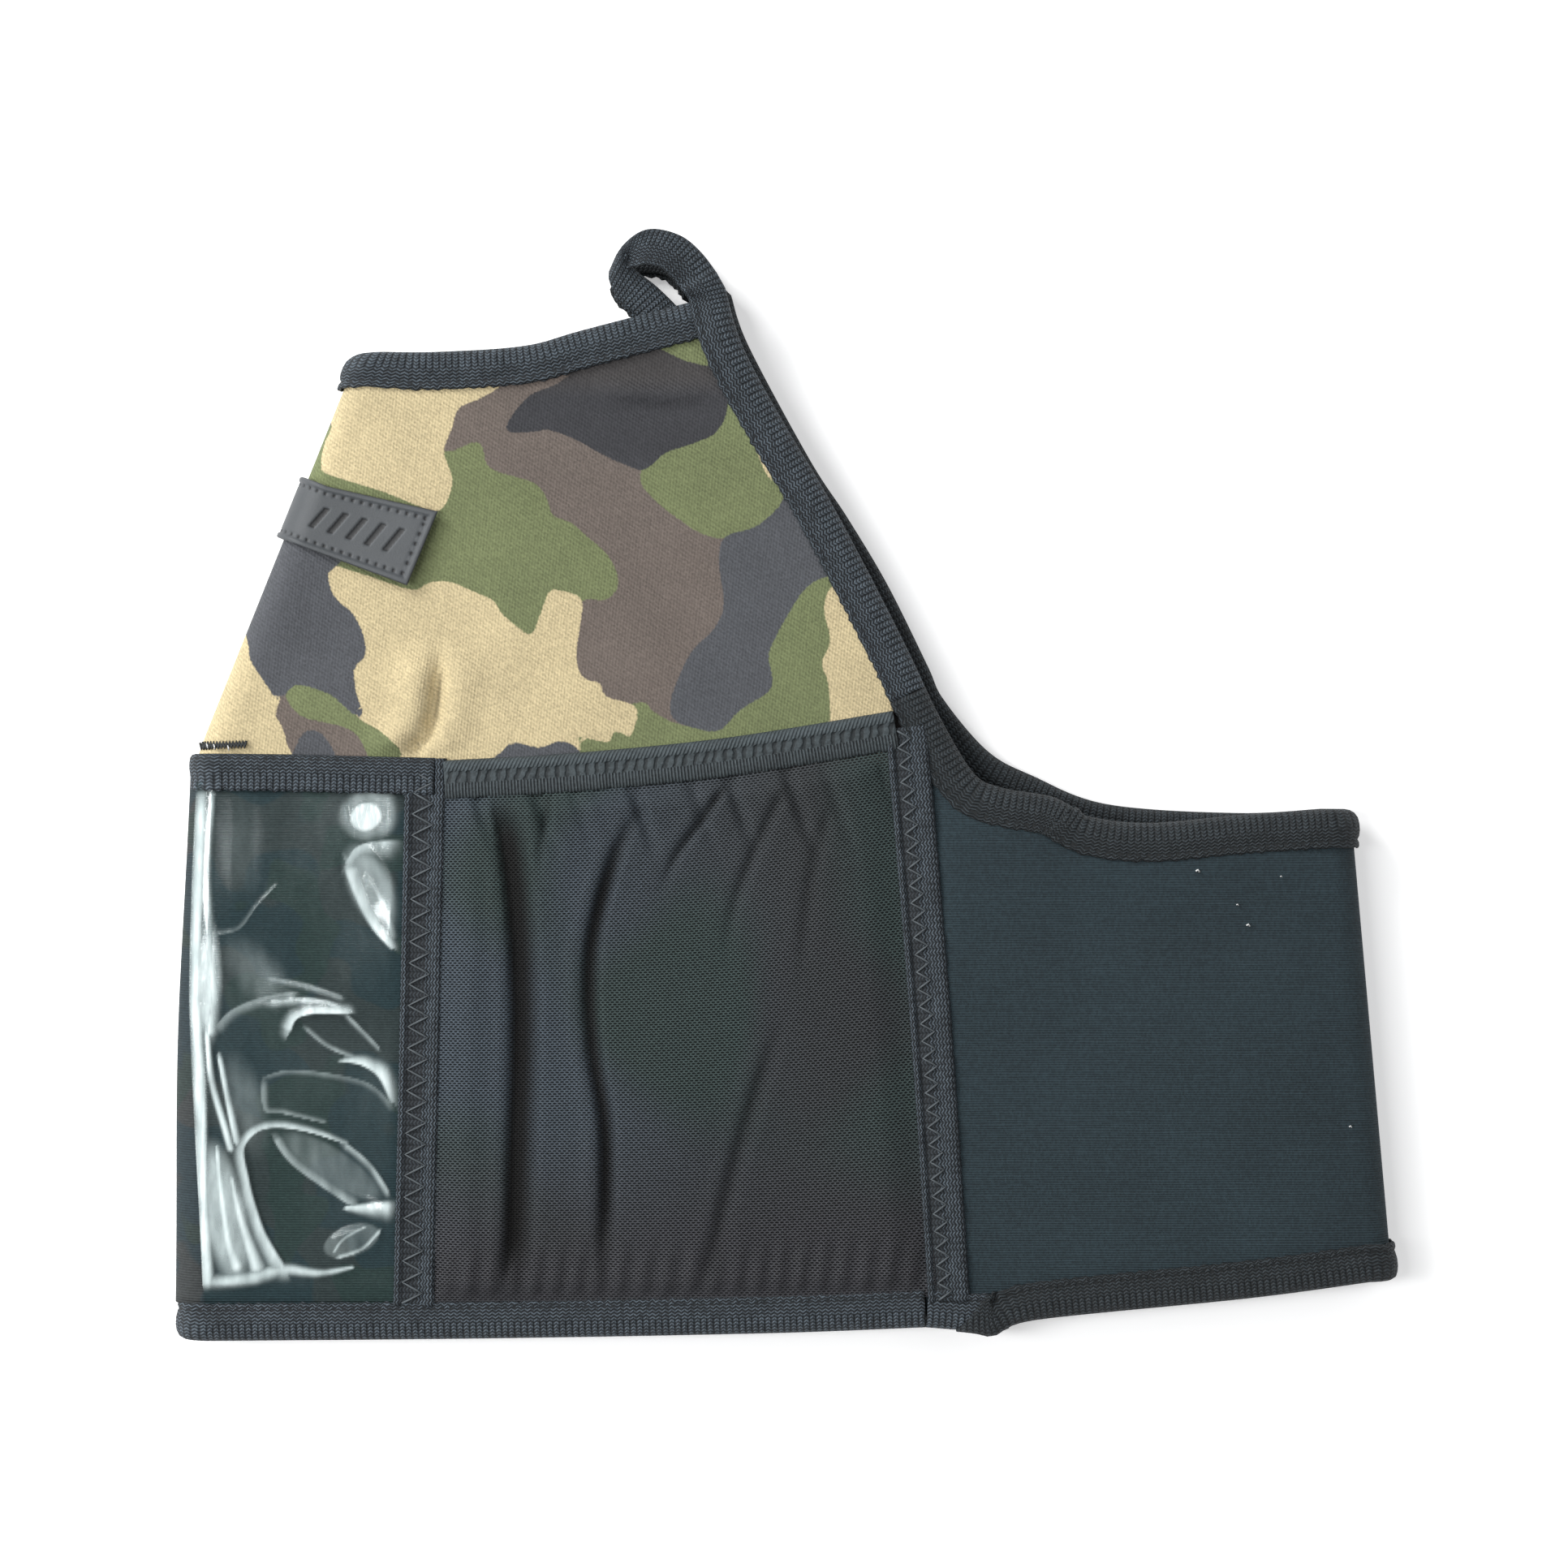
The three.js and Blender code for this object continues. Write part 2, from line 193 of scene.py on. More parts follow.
def cloth(name, columns, rows, lay, closed=False):
    """A grid of cloth. For the shares across and up, lay() gives the place, as x, y and level, and the
    run of the weave, both in millimetres. The weave may have a third value, for a tint"""
    shape = bmesh.new()
    bmesh.ops.create_grid(shape, x_segments=columns, y_segments=rows, size=0.5)
    shares = np.array([vert.co for vert in shape.verts]) + 0.5
    places, runs = lay(shares[:, 0], shares[:, 1])
    weave = shape.verts.layers.float_vector.new("weave")
    for vert, place, run in zip(shape.verts, places, runs):
        vert.co = (place[0] / 1000, place[1] / 1000, max(0.01, place[2] + MID) / 1000)
        vert[weave] = (*run, 0)[:3]
    if closed:
        bmesh.ops.remove_doubles(shape, verts=shape.verts, dist=1e-6)
        bmesh.ops.holes_fill(shape, edges=shape.edges, sides=0)
        bmesh.ops.recalc_face_normals(shape, faces=shape.faces)
        return finished(name, shape)
    shape.normal_update()
    outward = sum(f.normal.z * (f.calc_center_median().z - MID / 1000) for f in shape.faces)
    if outward < 0:
        bmesh.ops.reverse_faces(shape, faces=shape.faces)
    return finished(name, shape)


def thicken(piece, thickness, lining=0):
    """Gives a sheet its thickness, inwards from its outer face"""
    wall = piece.modifiers.new("thickness", "SOLIDIFY")
    wall.thickness = thickness / 1000
    wall.offset = -1
    wall.material_offset = lining
    wall.material_offset_rim = lining


def nearest(points, line):
    """How far points are from a line, and at what share of its stretches"""
    best = np.full(len(points), np.inf)
    share = np.zeros(len(points))
    for i in range(len(line) - 1):
        run = line[i + 1] - line[i]
        part = np.clip((points - line[i]) @ run / max(run @ run, 1e-9), 0, 1)
        gap = np.linalg.norm(points - line[i] - part[:, None] * run, axis=1)
        closer = gap < best
        best[closer] = gap[closer]
        share[closer] = (i + part[closer]) / (len(line) - 1)
    return best, share


def inside(points, outline):
    """Which points a closed outline holds"""
    held = np.zeros(len(points), bool)
    for start, end in zip(outline[:-1], outline[1:]):
        crosses = (start[1] > points[:, 1]) != (end[1] > points[:, 1])
        rise = end[1] - start[1] or 1e-9
        held ^= crosses & (points[:, 0] < start[0] + (points[:, 1] - start[1]) / rise * (end[0] - start[0]))
    return held


def hump(value, width):
    """A smooth hump that is 1 at zero"""
    return np.exp(-(value / width) ** 2)


def ease(value, low, high):
    """0 below one value, 1 above another and smooth between them"""
    share = np.clip((value - low) / (high - low), 0, 1)
    return share * share * (3 - 2 * share)


def waviness(x, y, seed, size):
    """Gentle unevenness of hand-worked cloth, from -1 to 1"""
    draws = np.random.default_rng(seed).uniform(0, 2 * math.pi, 8)
    total = 0
    for k, turn in enumerate(draws):
        angle = k * 2.4 + seed
        total = total + np.sin((x * math.cos(angle) + y * math.sin(angle)) / size * (1 + 0.23 * k) + turn)
    return total / 4


DART = np.array([(-82.2, 36.0), (-81.8, 26.3), (-82.6, 16.8), (-85.6, 10.2), (-88.4, 7.3)])
BROW = smooth_line([(-46.0, 94.0), (-38.0, 92.4), (-31.0, 91.4), (-24.0, 91.4), (-17.6, 92.4)])


def panel_relief(x, y):
    """How far the near face stands out from its plain level"""
    points = np.stack([x, y], 1)
    gap, share = nearest(points, DART)
    deep = ease(share, 0.02, 0.35) * ease(y, 6.0, 11.0)
    side = np.where(x < np.interp(y, DART[::-1, 1], DART[::-1, 0]), 1.0, 0.55)
    dart = deep * (2.4 * hump(gap - 5.0, 4.2) * side - 3.0 * hump(gap, 1.3))
    pucker = 0.7 * hump(y - 11, 3.5) * hump(x + 86, 8) * np.sin(x * 1.15 + y * 0.5)
    brow_gap, brow_share = nearest(points, BROW)
    brow = 1.5 * hump(brow_gap, 1.5) * ease(brow_share, 0, 0.3) * ease(1 - brow_share, 0, 0.3)
    under = -0.9 * hump(y - 88.2, 2.4) * hump(x + 32, 11) - 0.8 * hump(y - 97.0, 3.0) * hump(x + 30, 13)
    bulge = 0.9 * waviness(x, y, 3, 26.0) * ease(y, 10, 30)
    rim = ease(nearest(points, front_sides[1]["top"])[0], 2, 14)
    return dart + pucker + brow + under + bulge * rim


def front_edges(side):
    """The four edges of one side of the front panel, inside its bindings"""
    bottom = smooth_line(BOTTOM_FRONT) + (0, PANEL_INSET)
    slope = smooth_line(SLOPE[side])[::-1]
    slope = slope + PANEL_INSET * left_of(slope)
    slope = slope[(slope[:, 0] < SEAM_X) & (slope[:, 1] < 111.0)]
    top = smooth_line(TOP_EDGE)
    top = top - PANEL_INSET * left_of(top)
    corner = slope[-1] + (-0.6, 1.6)
    heights = np.linspace(bottom[0, 1], top[0, 1], 60)
    left = np.stack([crease_x(heights), heights], 1)
    bottom[0], top[0] = left[0], left[-1]
    right = np.vstack([bottom[-1], (SEAM_X, slope[0, 1] - 4), slope, corner])
    return {"left": left, "right": right, "bottom": bottom, "top": np.vstack([top, corner])}


front_sides = {side: front_edges(side) for side in (1, -1)}
FRONT_COLUMNS, TURN_COLUMNS, FRONT_ROWS = 98, 12, 150


def lay_front(across, up):
    column = np.rint(across * (2 * FRONT_COLUMNS + TURN_COLUMNS))
    far_share = np.clip(1 - column / FRONT_COLUMNS, 0, 1)
    near_share = np.clip((column - FRONT_COLUMNS - TURN_COLUMNS) / FRONT_COLUMNS, 0, 1)
    turn = np.clip((column - FRONT_COLUMNS) / TURN_COLUMNS, 0, 1)
    near, far = (patch(**front_sides[side])(share, up) for side, share in ((1, near_share), (-1, far_share)))
    crease_y = walk(front_sides[1]["left"], up)[:, 1]
    reach = (turn - 1) * math.pi * PANEL_LEVEL
    place = round_front(reach, crease_y, PANEL_LEVEL)
    on_near = near_share > 0
    on_far = far_share > 0
    relief = panel_relief(near[:, 0], near[:, 1]) * ease(near_share, 0, 0.06)
    place[on_near] = np.stack([near[:, 0], near[:, 1], PANEL_LEVEL + relief], 1)[on_near]
    sag = 0.5 * waviness(far[:, 0], far[:, 1], 5, 30.0) * ease(far_share, 0, 0.06)
    place[on_far] = np.stack([far[:, 0], far[:, 1], -PANEL_LEVEL - sag], 1)[on_far]
    run = place[:, :2].copy()
    run[:, 0] = np.where(on_near, run[:, 0], crease_x(crease_y) + reach)
    run[on_far, 0] -= far[on_far, 0] - crease_x(crease_y)[on_far]
    return place, run


front_panel = cloth("front_panel", 2 * FRONT_COLUMNS + TURN_COLUMNS, FRONT_ROWS, lay_front)

# The print: blots of one colour over another, on brown. It repeats where it goes on to the far side.
PRINT = {
    "green": [
        [(-80.5, 78.5), (-77, 79), (-73.5, 80.5), (-71.5, 79.5), (-70.5, 75.5), (-67.5, 73.5), (-59.5, 71),
         (-56.5, 67.5), (-55, 63.5), (-50.5, 61.5), (-46.5, 58), (-42.5, 54.5), (-40, 50), (-40, 46),
         (-43, 43.5), (-48.5, 43), (-53.5, 32), (-70.5, 34), (-93, 43.5), (-105.5, 51), (-118, 62.5),
         (-121.5, 70), (-118, 77.5), (-111, 85), (-95, 81.5)],
        [(-34.5, 72.5), (-32.5, 77.5), (-23, 85), (-13.5, 93), (-8.5, 85), (-6.5, 78.5), (-3.5, 72.5),
         (-1, 68), (-1.5, 65.5), (-4.5, 62.5), (-8, 60), (-15.5, 58), (-21, 59.5), (-25.5, 62.5),
         (-29.5, 65.5), (-33.5, 69.5)],
        [(-31.5, 102), (-27.5, 104.5), (-21.5, 105.5), (-18, 104), (-18.5, 97.5), (-23, 97.5),
         (-26.5, 99.5)],
        [(-117.5, 22.5), (-113, 24.5), (-106.5, 22.5), (-99, 17), (-95.5, 14), (-90.5, 8.5), (-91.5, 5.5),
         (-97, 5.5), (-100.5, 11.5), (-104.5, 14), (-113, 16), (-116.5, 19)],
        [(13, 51), (12, 34), (12, 13), (-13.5, 7.5), (-51.5, 3.5), (-53.5, 12), (-35.5, 19.5),
         (-31.5, 17.5), (-25.5, 14.5), (-17, 15), (-7.5, 26.5), (-4, 37.5), (3.5, 48), (9.5, 50.5)],
    ],
    "tan": [
        [(-121.5, 100.5), (-119, 89), (-108, 85), (-109.5, 81), (-109.5, 75.5), (-107.5, 73), (-95, 69),
         (-83.5, 64.5), (-80.5, 65.5), (-79, 68.5), (-78.5, 72), (-80, 76.5), (-80.5, 79), (-78.5, 84),
         (-77, 88.5), (-71.5, 91), (-67, 94), (-64.5, 98.5), (-93, 102.5)],
        [(-109.5, 52), (-104, 51), (-99, 49.5), (-88, 46), (-84.5, 47.5), (-81, 48), (-78, 47.5),
         (-73.5, 45.5), (-69, 43.5), (-67, 40.5), (-63, 37), (-60, 35.5), (-58, 40), (-56.5, 44), (-55, 46),
         (-48.5, 44), (-48.5, 38.5), (-49.5, 30.5), (-48, 25.5), (-44, 24), (-42.5, 21), (-35.5, 18.5),
         (-36, 13.5), (-37, 11.5), (-39, 12.5), (-41, 12.5), (-41.5, 10.5), (-44, 10.5), (-48.5, 11.5),
         (-50, 11), (-48.5, 8.5), (-59, 4.5), (-88.5, 4.5), (-90.5, 8.5), (-95.5, 13), (-101, 16.5),
         (-103.5, 24.5), (-102.5, 34), (-108.5, 43.5)],
        [(-144.5, 3.5), (-147.5, 17), (-139.5, 28), (-133, 35), (-125.5, 34), (-119, 22.5), (-120, 17),
         (-118.5, 14), (-117.5, 10.5), (-117.5, 3.5)],
        [(11.5, 47), (8.5, 42), (10, 34), (8, 29), (9.5, 24), (10, 16), (10, 12), (23.5, 13), (23.5, 24.5),
         (17.5, 36)],
        [(-7.5, 79), (-6, 77.5), (-3, 71.5), (-5, 73)],
        [(1, 64), (2.5, 63), (4.5, 58.5), (2, 61)],
    ],
    "black": [
        [(-66, 83.5), (-59, 83), (-56.5, 83.5), (-50.5, 81.5), (-45, 78.5), (-40, 76), (-34.5, 74),
         (-32, 75), (-28.5, 78), (-22.5, 80), (-17, 82.5), (-14.5, 86.5), (-14, 89.5), (-12.5, 94.5),
         (-16, 98), (-19.5, 98.5), (-25, 100), (-30, 102.5), (-36, 104.5), (-45.5, 101), (-53.5, 94.5),
         (-61, 91)],
        [(-135, 66), (-118, 60.5), (-104.5, 53), (-107.5, 50.5), (-107, 46), (-105, 43), (-102, 40.5),
         (-99.5, 35.5), (-99, 30.5), (-101.5, 28), (-101.5, 25), (-101, 21.5), (-99, 15.5), (-102, 17),
         (-106.5, 21), (-110, 22.5), (-113, 23.5), (-116.5, 23.5), (-117, 21.5), (-119, 21), (-120, 20),
         (-121, 22), (-124, 26.5), (-126, 30), (-127.5, 34.5), (-137, 43.5)],
        [(-15, 58), (-16, 51.5), (-15, 44.5), (-15.5, 40), (-18, 36), (-22.5, 31.5), (-25.5, 25.5),
         (-27.5, 19.5), (-26.5, 15.5), (-21.5, 13.5), (-16, 13), (-12, 17), (-8.5, 19.5), (-4.5, 22),
         (-3.5, 25), (-4.5, 30.5), (-2.5, 35.5), (0, 40), (3.5, 45.5), (6.5, 48), (9, 49), (13, 51),
         (7.5, 60.5), (3, 67.5), (-1, 67.5), (-1.5, 66), (-4.5, 63), (-8, 60.5)],
        [(-116, 5.5), (-115, 9.5), (-113.5, 12.5), (-110.5, 13), (-108, 11), (-106, 7.5), (-106, 4.5)],
        [(-69.5, 4.5), (-67, 8), (-65, 10), (-62.5, 10), (-58, 9), (-53.5, 10.5), (-49.5, 9), (-48.5, 4.5)],
    ],
}
PRINT_REPEAT = (-187.0, -9.0)  # where the same blots come again, on the far side
PRINT_REACH = 5.0  # how far from a blot's edge its depth is still told

runs = np.zeros(len(front_panel.data.vertices) * 3)
front_panel.data.attributes["weave"].data.foreach_get("vector", runs)
runs = runs.reshape(-1, 3)[:, :2]
for colour, blots in PRINT.items():
    depth = np.full(len(runs), -PRINT_REACH)
    for blot in blots:
        for shift in ((0, 0), PRINT_REPEAT):
            outline = smooth_line(blot, closed=True, steps=5) + shift
            low, high = outline.min(0) - PRINT_REACH, outline.max(0) + PRINT_REACH
            close = np.flatnonzero(((runs > low) & (runs < high)).all(1))
            gap = nearest(runs[close], outline)[0]
            signed = np.where(inside(runs[close], outline), gap, -gap)
            depth[close] = np.maximum(depth[close], signed)
    blot_layer = front_panel.data.attributes.new(colour, "FLOAT", "POINT")
    blot_layer.data.foreach_set("value", depth.astype(np.float32))


class Wire:
    """A value on its way through a material; arithmetic on it adds the nodes"""

    def __init__(self, socket):
        self.socket = socket

    def joined(self, operation, first, second):
        tree = self.socket.id_data
        return add_node(tree, "ShaderNodeMath", {"operation": operation}, {0: first, 1: second})

    def __add__(self, other):
        return self.joined("ADD", self, other)

    def __radd__(self, other):
        return self.joined("ADD", other, self)

    def __sub__(self, other):
        return self.joined("SUBTRACT", self, other)

    def __rsub__(self, other):
        return self.joined("SUBTRACT", other, self)

    def __mul__(self, other):
        return self.joined("MULTIPLY", self, other)

    def __rmul__(self, other):
        return self.joined("MULTIPLY", other, self)

    def __truediv__(self, other):
        return self.joined("DIVIDE", self, other)

    def __pow__(self, other):
        return self.joined("POWER", self, other)


def add_node(tree, kind, settings, sockets, output=0):
    """One node with its settings, then its sockets' values or links"""
    node = tree.nodes.new(kind)
    for name, value in settings.items():
        setattr(node, name, value)
    for name, value in sockets.items():
        if isinstance(value, Wire):
            tree.links.new(value.socket, node.inputs[name])
        else:
            node.inputs[name].default_value = value
    return Wire(node.outputs[output])


class Finish:
    """One procedural material, with what its parts are made of"""

    def __init__(self, name):
        self.material = bpy.data.materials.new(name)
        self.material.use_nodes = True
        self.tree = self.material.node_tree
        self.tree.nodes.clear()

    def node(self, kind, settings=(), sockets=(), output=0):
        return add_node(self.tree, kind, dict(settings), dict(sockets), output)

    def named(self, attribute, output="Fac"):
        return self.node("ShaderNodeAttribute", {"attribute_name": attribute}, output=output)

    def parts(self, vector):
        """The three parts of a vector"""
        first = self.node("ShaderNodeSeparateXYZ", (), {"Vector": vector})
        return [Wire(socket) for socket in first.socket.node.outputs]

    def vector(self, x, y, z=0.0):
        return self.node("ShaderNodeCombineXYZ", (), {"X": x, "Y": y, "Z": z})

    def math(self, operation, first, second=0.0):
        return self.node("ShaderNodeMath", {"operation": operation}, {0: first, 1: second})

    def clear_step(self, value, low, high):
        """0 below one value and 1 above another"""
        return self.node("ShaderNodeMapRange", {"interpolation_type": "SMOOTHSTEP"},
                         {"Value": value, "From Min": low, "From Max": high})

    def noise(self, vector, scale, detail=2.0):
        return self.node("ShaderNodeTexNoise", (), {"Vector": vector, "Scale": scale, "Detail": detail})

    def speckle(self, vector):
        """A value of its own for each cell of a vector's whole numbers"""
        cell = self.node("ShaderNodeVectorMath", {"operation": "FLOOR"}, {0: vector})
        return self.node("ShaderNodeTexWhiteNoise", (), {"Vector": cell}, "Value")

    def mixed(self, share, first, second):
        """One colour over another"""
        mix = self.tree.nodes.new("ShaderNodeMix")
        mix.data_type = "RGBA"
        for socket, value in ((mix.inputs[0], share), (mix.inputs[6], first), (mix.inputs[7], second)):
            if isinstance(value, Wire):
                self.tree.links.new(value.socket, socket)
            else:
                socket.default_value = value if isinstance(value, float) else (*value, 1)
        return Wire(mix.outputs[2])

    def lit(self, colour, amount):
        """A colour times a number"""
        return self.node("ShaderNodeVectorMath", {"operation": "SCALE"}, {0: colour, "Scale": amount})

    def coated(self, colour, height, depth, roughness=0.85, **constants):
        """Ends the material: a colour, and a relief that is so many millimetres deep"""
        bump = self.node("ShaderNodeBump", (), {"Height": height, "Distance": depth / 1000, "Strength": 1.0})
        sockets = {"Base Color": colour, "Roughness": roughness, "Normal": bump, **constants}
        shader = self.node("ShaderNodeBsdfPrincipled", (), sockets)
        self.node_out(shader)
        return self.material

    def node_out(self, shader):
        out = self.tree.nodes.new("ShaderNodeOutputMaterial")
        self.tree.links.new(shader.socket, out.inputs["Surface"])


TAN, GREEN, BROWN = (0.65, 0.54, 0.32), (0.185, 0.215, 0.100), (0.165, 0.135, 0.117)
NAVY, LINING = (0.092, 0.097, 0.108), (0.014, 0.017, 0.019)


def camouflage():
    finish = Finish("camouflage_knit")
    weave = finish.named("weave", "Vector")
    x, y, _ = finish.parts(weave)
    ragged = (finish.noise(weave, 1.6) - 0.5) * 0.7
    colour = finish.mixed(finish.clear_step(finish.named("green") + ragged, -0.22, 0.22), BROWN, GREEN)
    colour = finish.mixed(finish.clear_step(finish.named("tan") + ragged, -0.2, 0.2), colour, TAN)
    # Painted shade: the black blots are coloured darker towards the top of the panel, and a shaded brown
    # above the brow.
    deep = finish.mixed(finish.clear_step(y, 58.0, 80.0), NAVY, (0.046, 0.047, 0.053))
    deep = finish.mixed(finish.clear_step(y, 90.0, 97.0), deep, (0.060, 0.056, 0.056))
    colour = finish.mixed(finish.clear_step(finish.named("black") + ragged, -0.22, 0.22), colour, deep)
    covered = 1 - finish.clear_step(y - x * 0.05, 3.0, 7.0) * (1 - finish.clear_step(x, 24.0, 25.0))
    colour = finish.mixed(covered, colour, finish.lit(colour, 0.05))
    grain = finish.speckle(finish.vector((x + y * 0.45) / 0.42, (y - x * 0.3) / 0.5))
    twill = finish.math("SINE", (x * 0.55 + y * 0.84) * (2 * math.pi / 0.85))
    wale = finish.math("SINE", (x - y * 0.12) * (2 * math.pi / 0.7))
    cloudy = finish.noise(weave, 0.06)
    shade = 0.76 + grain * 0.26 + twill * 0.08 + wale * 0.05 + (cloudy - 0.5) * 0.35
    return finish.coated(finish.lit(colour, shade), grain * 0.8 + twill * 0.6 + wale * 0.3, 0.10, 0.9)


def black_knit(name, colour, rib):
    """Fine black knit whose ribs run across, a rib's width apart"""
    finish = Finish(name)
    weave = finish.named("weave", "Vector")
    x, y, _ = finish.parts(weave)
    wander = finish.noise(finish.vector(x * 0.05, y * 0.6), 1.0) * 0.5
    ribs = finish.math("SINE", (y + wander) * (2 * math.pi / rib))
    grain = finish.speckle(finish.vector(x / 0.42, y / rib))
    cloudy = finish.noise(weave, 0.035, 3.0)
    shade = 0.72 + ribs * 0.20 + grain * 0.40 + (cloudy - 0.5) * 0.5
    return finish.coated(finish.lit(colour, shade), ribs + grain * 0.8, 0.08, 0.92)


front_panel.data.materials.append(camouflage())
front_panel.data.materials.append(black_knit("black_lining", LINING, 0.6))
thicken(front_panel, NEOPRENE, lining=1)


def fold_front(piece):
    """Bakes a piece's placement into its mesh"""
    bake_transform(piece)


fold_front(front_panel)
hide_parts("front_panel_near", "front_panel_far")

# ---- Back panel -------------------------------------------------------------------------------
# Plain black neoprene with a fine knit face, its ribs running round the sleeve. It wraps the back
# crease from seam to seam. A few white specks of lint cling to it.

BACK_CREASE = [(136.7, -119.5), (126.3, -2.0)]
BACK_TOP = {
    1: [(43.4, 3.4), (50.1, -0.3), (62.4, -2.6), (71.5, -7.2), (85.4, -8.6), (106.7, -6.7), (126.6, -5.4)],
    -1: [(47.6, 8.3), (58.4, 2.4), (75.9, -4.3), (106.7, -6.4), (126.6, -5.4)],
}
BOTTOM_BACK = [(SEAM_X, -127.0), (49.3, -127.9), (59.6, -125.1), (108.2, -120.2), (136.6, -116.4)]
BACK_COLUMNS, BACK_ROWS = 60, 76
KNIT = (0.022, 0.039, 0.048)


def back_edges(side):
    """The four edges of one side of the back panel, from the back crease to the seam"""
    bottom = smooth_line(BOTTOM_BACK)
    bottom = bottom + PANEL_INSET * left_of(bottom)
    top = smooth_line(SLOPE[side][-2:] + BACK_TOP[side])
    top = top - PANEL_INSET * left_of(top)
    top = top[top[:, 0] > SEAM_X]
    top[0, 0], bottom[0, 0] = SEAM_X, SEAM_X
    heights = np.linspace(bottom[-1, 1], top[-1, 1], 40)
    crease = [[p[k] for p in BACK_CREASE] for k in (0, 1)]
    right = np.stack([np.interp(heights, crease[1], crease[0]), heights], 1)
    bottom[-1], top[-1] = right[0], right[-1]
    left = np.stack([bottom[0], top[0]])
    return {"left": left, "right": right, "bottom": bottom, "top": top}


back_sides = {side: back_edges(side) for side in (1, -1)}


def lay_back(across, up):
    column = np.rint(across * (2 * BACK_COLUMNS + TURN_COLUMNS))
    near_share = np.clip(column / BACK_COLUMNS, 0, 1)
    turn = np.clip((column - BACK_COLUMNS) / TURN_COLUMNS, 0, 1)
    far_share = np.clip(1 - (column - BACK_COLUMNS - TURN_COLUMNS) / BACK_COLUMNS, 0, 1)
    near, far = (patch(**back_sides[side])(share, up) for side, share in ((1, near_share), (-1, far_share)))
    crease = walk(back_sides[1]["right"], up)
    place = np.stack([crease[:, 0] + PANEL_LEVEL * np.sin(math.pi * turn), crease[:, 1],
                      PANEL_LEVEL * np.cos(math.pi * turn)], 1)
    flat_near, flat_far = turn <= 0, turn >= 1
    calm = ease(near_share, 0, 0.1) * ease(1 - near_share, 0, 0.12)
    swell = (0.45 * waviness(near[:, 0], near[:, 1], 8, 24.0) + 0.5) * calm * ease(up, 0, 0.1)
    place[flat_near] = np.stack([near[:, 0], near[:, 1], PANEL_LEVEL + swell], 1)[flat_near]
    place[flat_far] = np.stack([far[:, 0], far[:, 1], np.full(len(far), -PANEL_LEVEL)], 1)[flat_far]
    run = np.stack([crease[:, 0] + math.pi * PANEL_LEVEL * turn, place[:, 1]], 1)
    run[flat_near, 0] = near[flat_near, 0]
    run[flat_far, 0] += crease[flat_far, 0] - far[flat_far, 0]
    return place, run


back_panel = cloth("back_panel", 2 * BACK_COLUMNS + TURN_COLUMNS, BACK_ROWS, lay_back)
back_panel.data.materials.append(black_knit("black_face_knit", KNIT, 0.57))
back_panel.data.materials.append(bpy.data.materials["black_lining"])
thicken(back_panel, NEOPRENE, lining=1)


def fold_back(piece):
    """Bakes a piece's placement into its mesh"""
    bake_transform(piece)


fold_back(back_panel)
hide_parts("back_panel_near", "back_panel_far")

# ---- Edge bindings ----------------------------------------------------------------------------
# Knitted elastic tape folded over every free edge and sewn down with one row of stitches, so it is
# rounded at the rim and pinched along the stitching. Separate lengths are lapped where they meet.
# The tape of each slope runs on past the tip, presses flat and turns back as a strap loop.

TAPE_THICK = 0.7
# The tape's section: depth in from the rim and level, from its outer leg round the rim to its inner one
SECTION = [(9.15, 6.75), (9.05, 7.2), (8.6, 7.5), (7.9, 7.55), (7.15, 7.25), (6.4, 7.6), (5.1, 7.9),
           (3.5, 7.95), (2.0, 7.7), (0.9, 7.1), (0.25, 6.1), (0.0, 4.9), (0.25, 3.7), (1.0, 2.8), (2.4, 2.3),
           (5.0, 2.2), (8.0, 2.2)]
SECTION_MIDDLE = 5.1
LAP_LEGS = 14  # how many of its points a lap without an inner leg has
STEP = 1.15  # from one row of the tape's mesh to the next


def spaced(line, step):
    """The same line with its points a step apart"""
    return walk(line, np.linspace(0, 1, max(2, round(lengths(line)[-1] / step))))


def flat_run(edge, side, inward):
    """Stations along an edge on one face: the edge, the way in from it, the way out of the face, and
    how far the tape is pressed flat"""
    edge = spaced(edge, STEP)
    flat = np.zeros((len(edge), 1))
    facing = np.tile((0.0, 0.0, side), (len(edge), 1))
    return [np.hstack([edge, flat]), np.hstack([left_of(edge) * inward, flat]), facing, flat]


def turn_run(corner, along, outward, side, steps=14):
    """Stations round a crease, from the side named to the other"""
    arc = np.linspace(0, math.pi, steps + 1)[1:-1, None]
    facing = np.cos(arc) * (0, 0, side) + np.sin(arc) * (*outward, 0)
    return [np.tile((*corner, 0.0), (len(arc), 1)), np.tile((*along, 0.0), (len(arc), 1)), facing, arc * 0]


def joined_runs(*runs):
    return [np.vstack([run[k] for run in runs]) for k in range(4)]


def fan(stations, corner, along, reach=9.0):
    """Turns the way in, near a corner, to follow the crease"""
    gap = np.linalg.norm(stations[0][:, :2] - corner, axis=1)
    share = (1 - ease(gap, 0, reach))[:, None]
    stations[1] = stations[1] * (1 - share) + np.array((*along, 0.0)) * share
    return stations


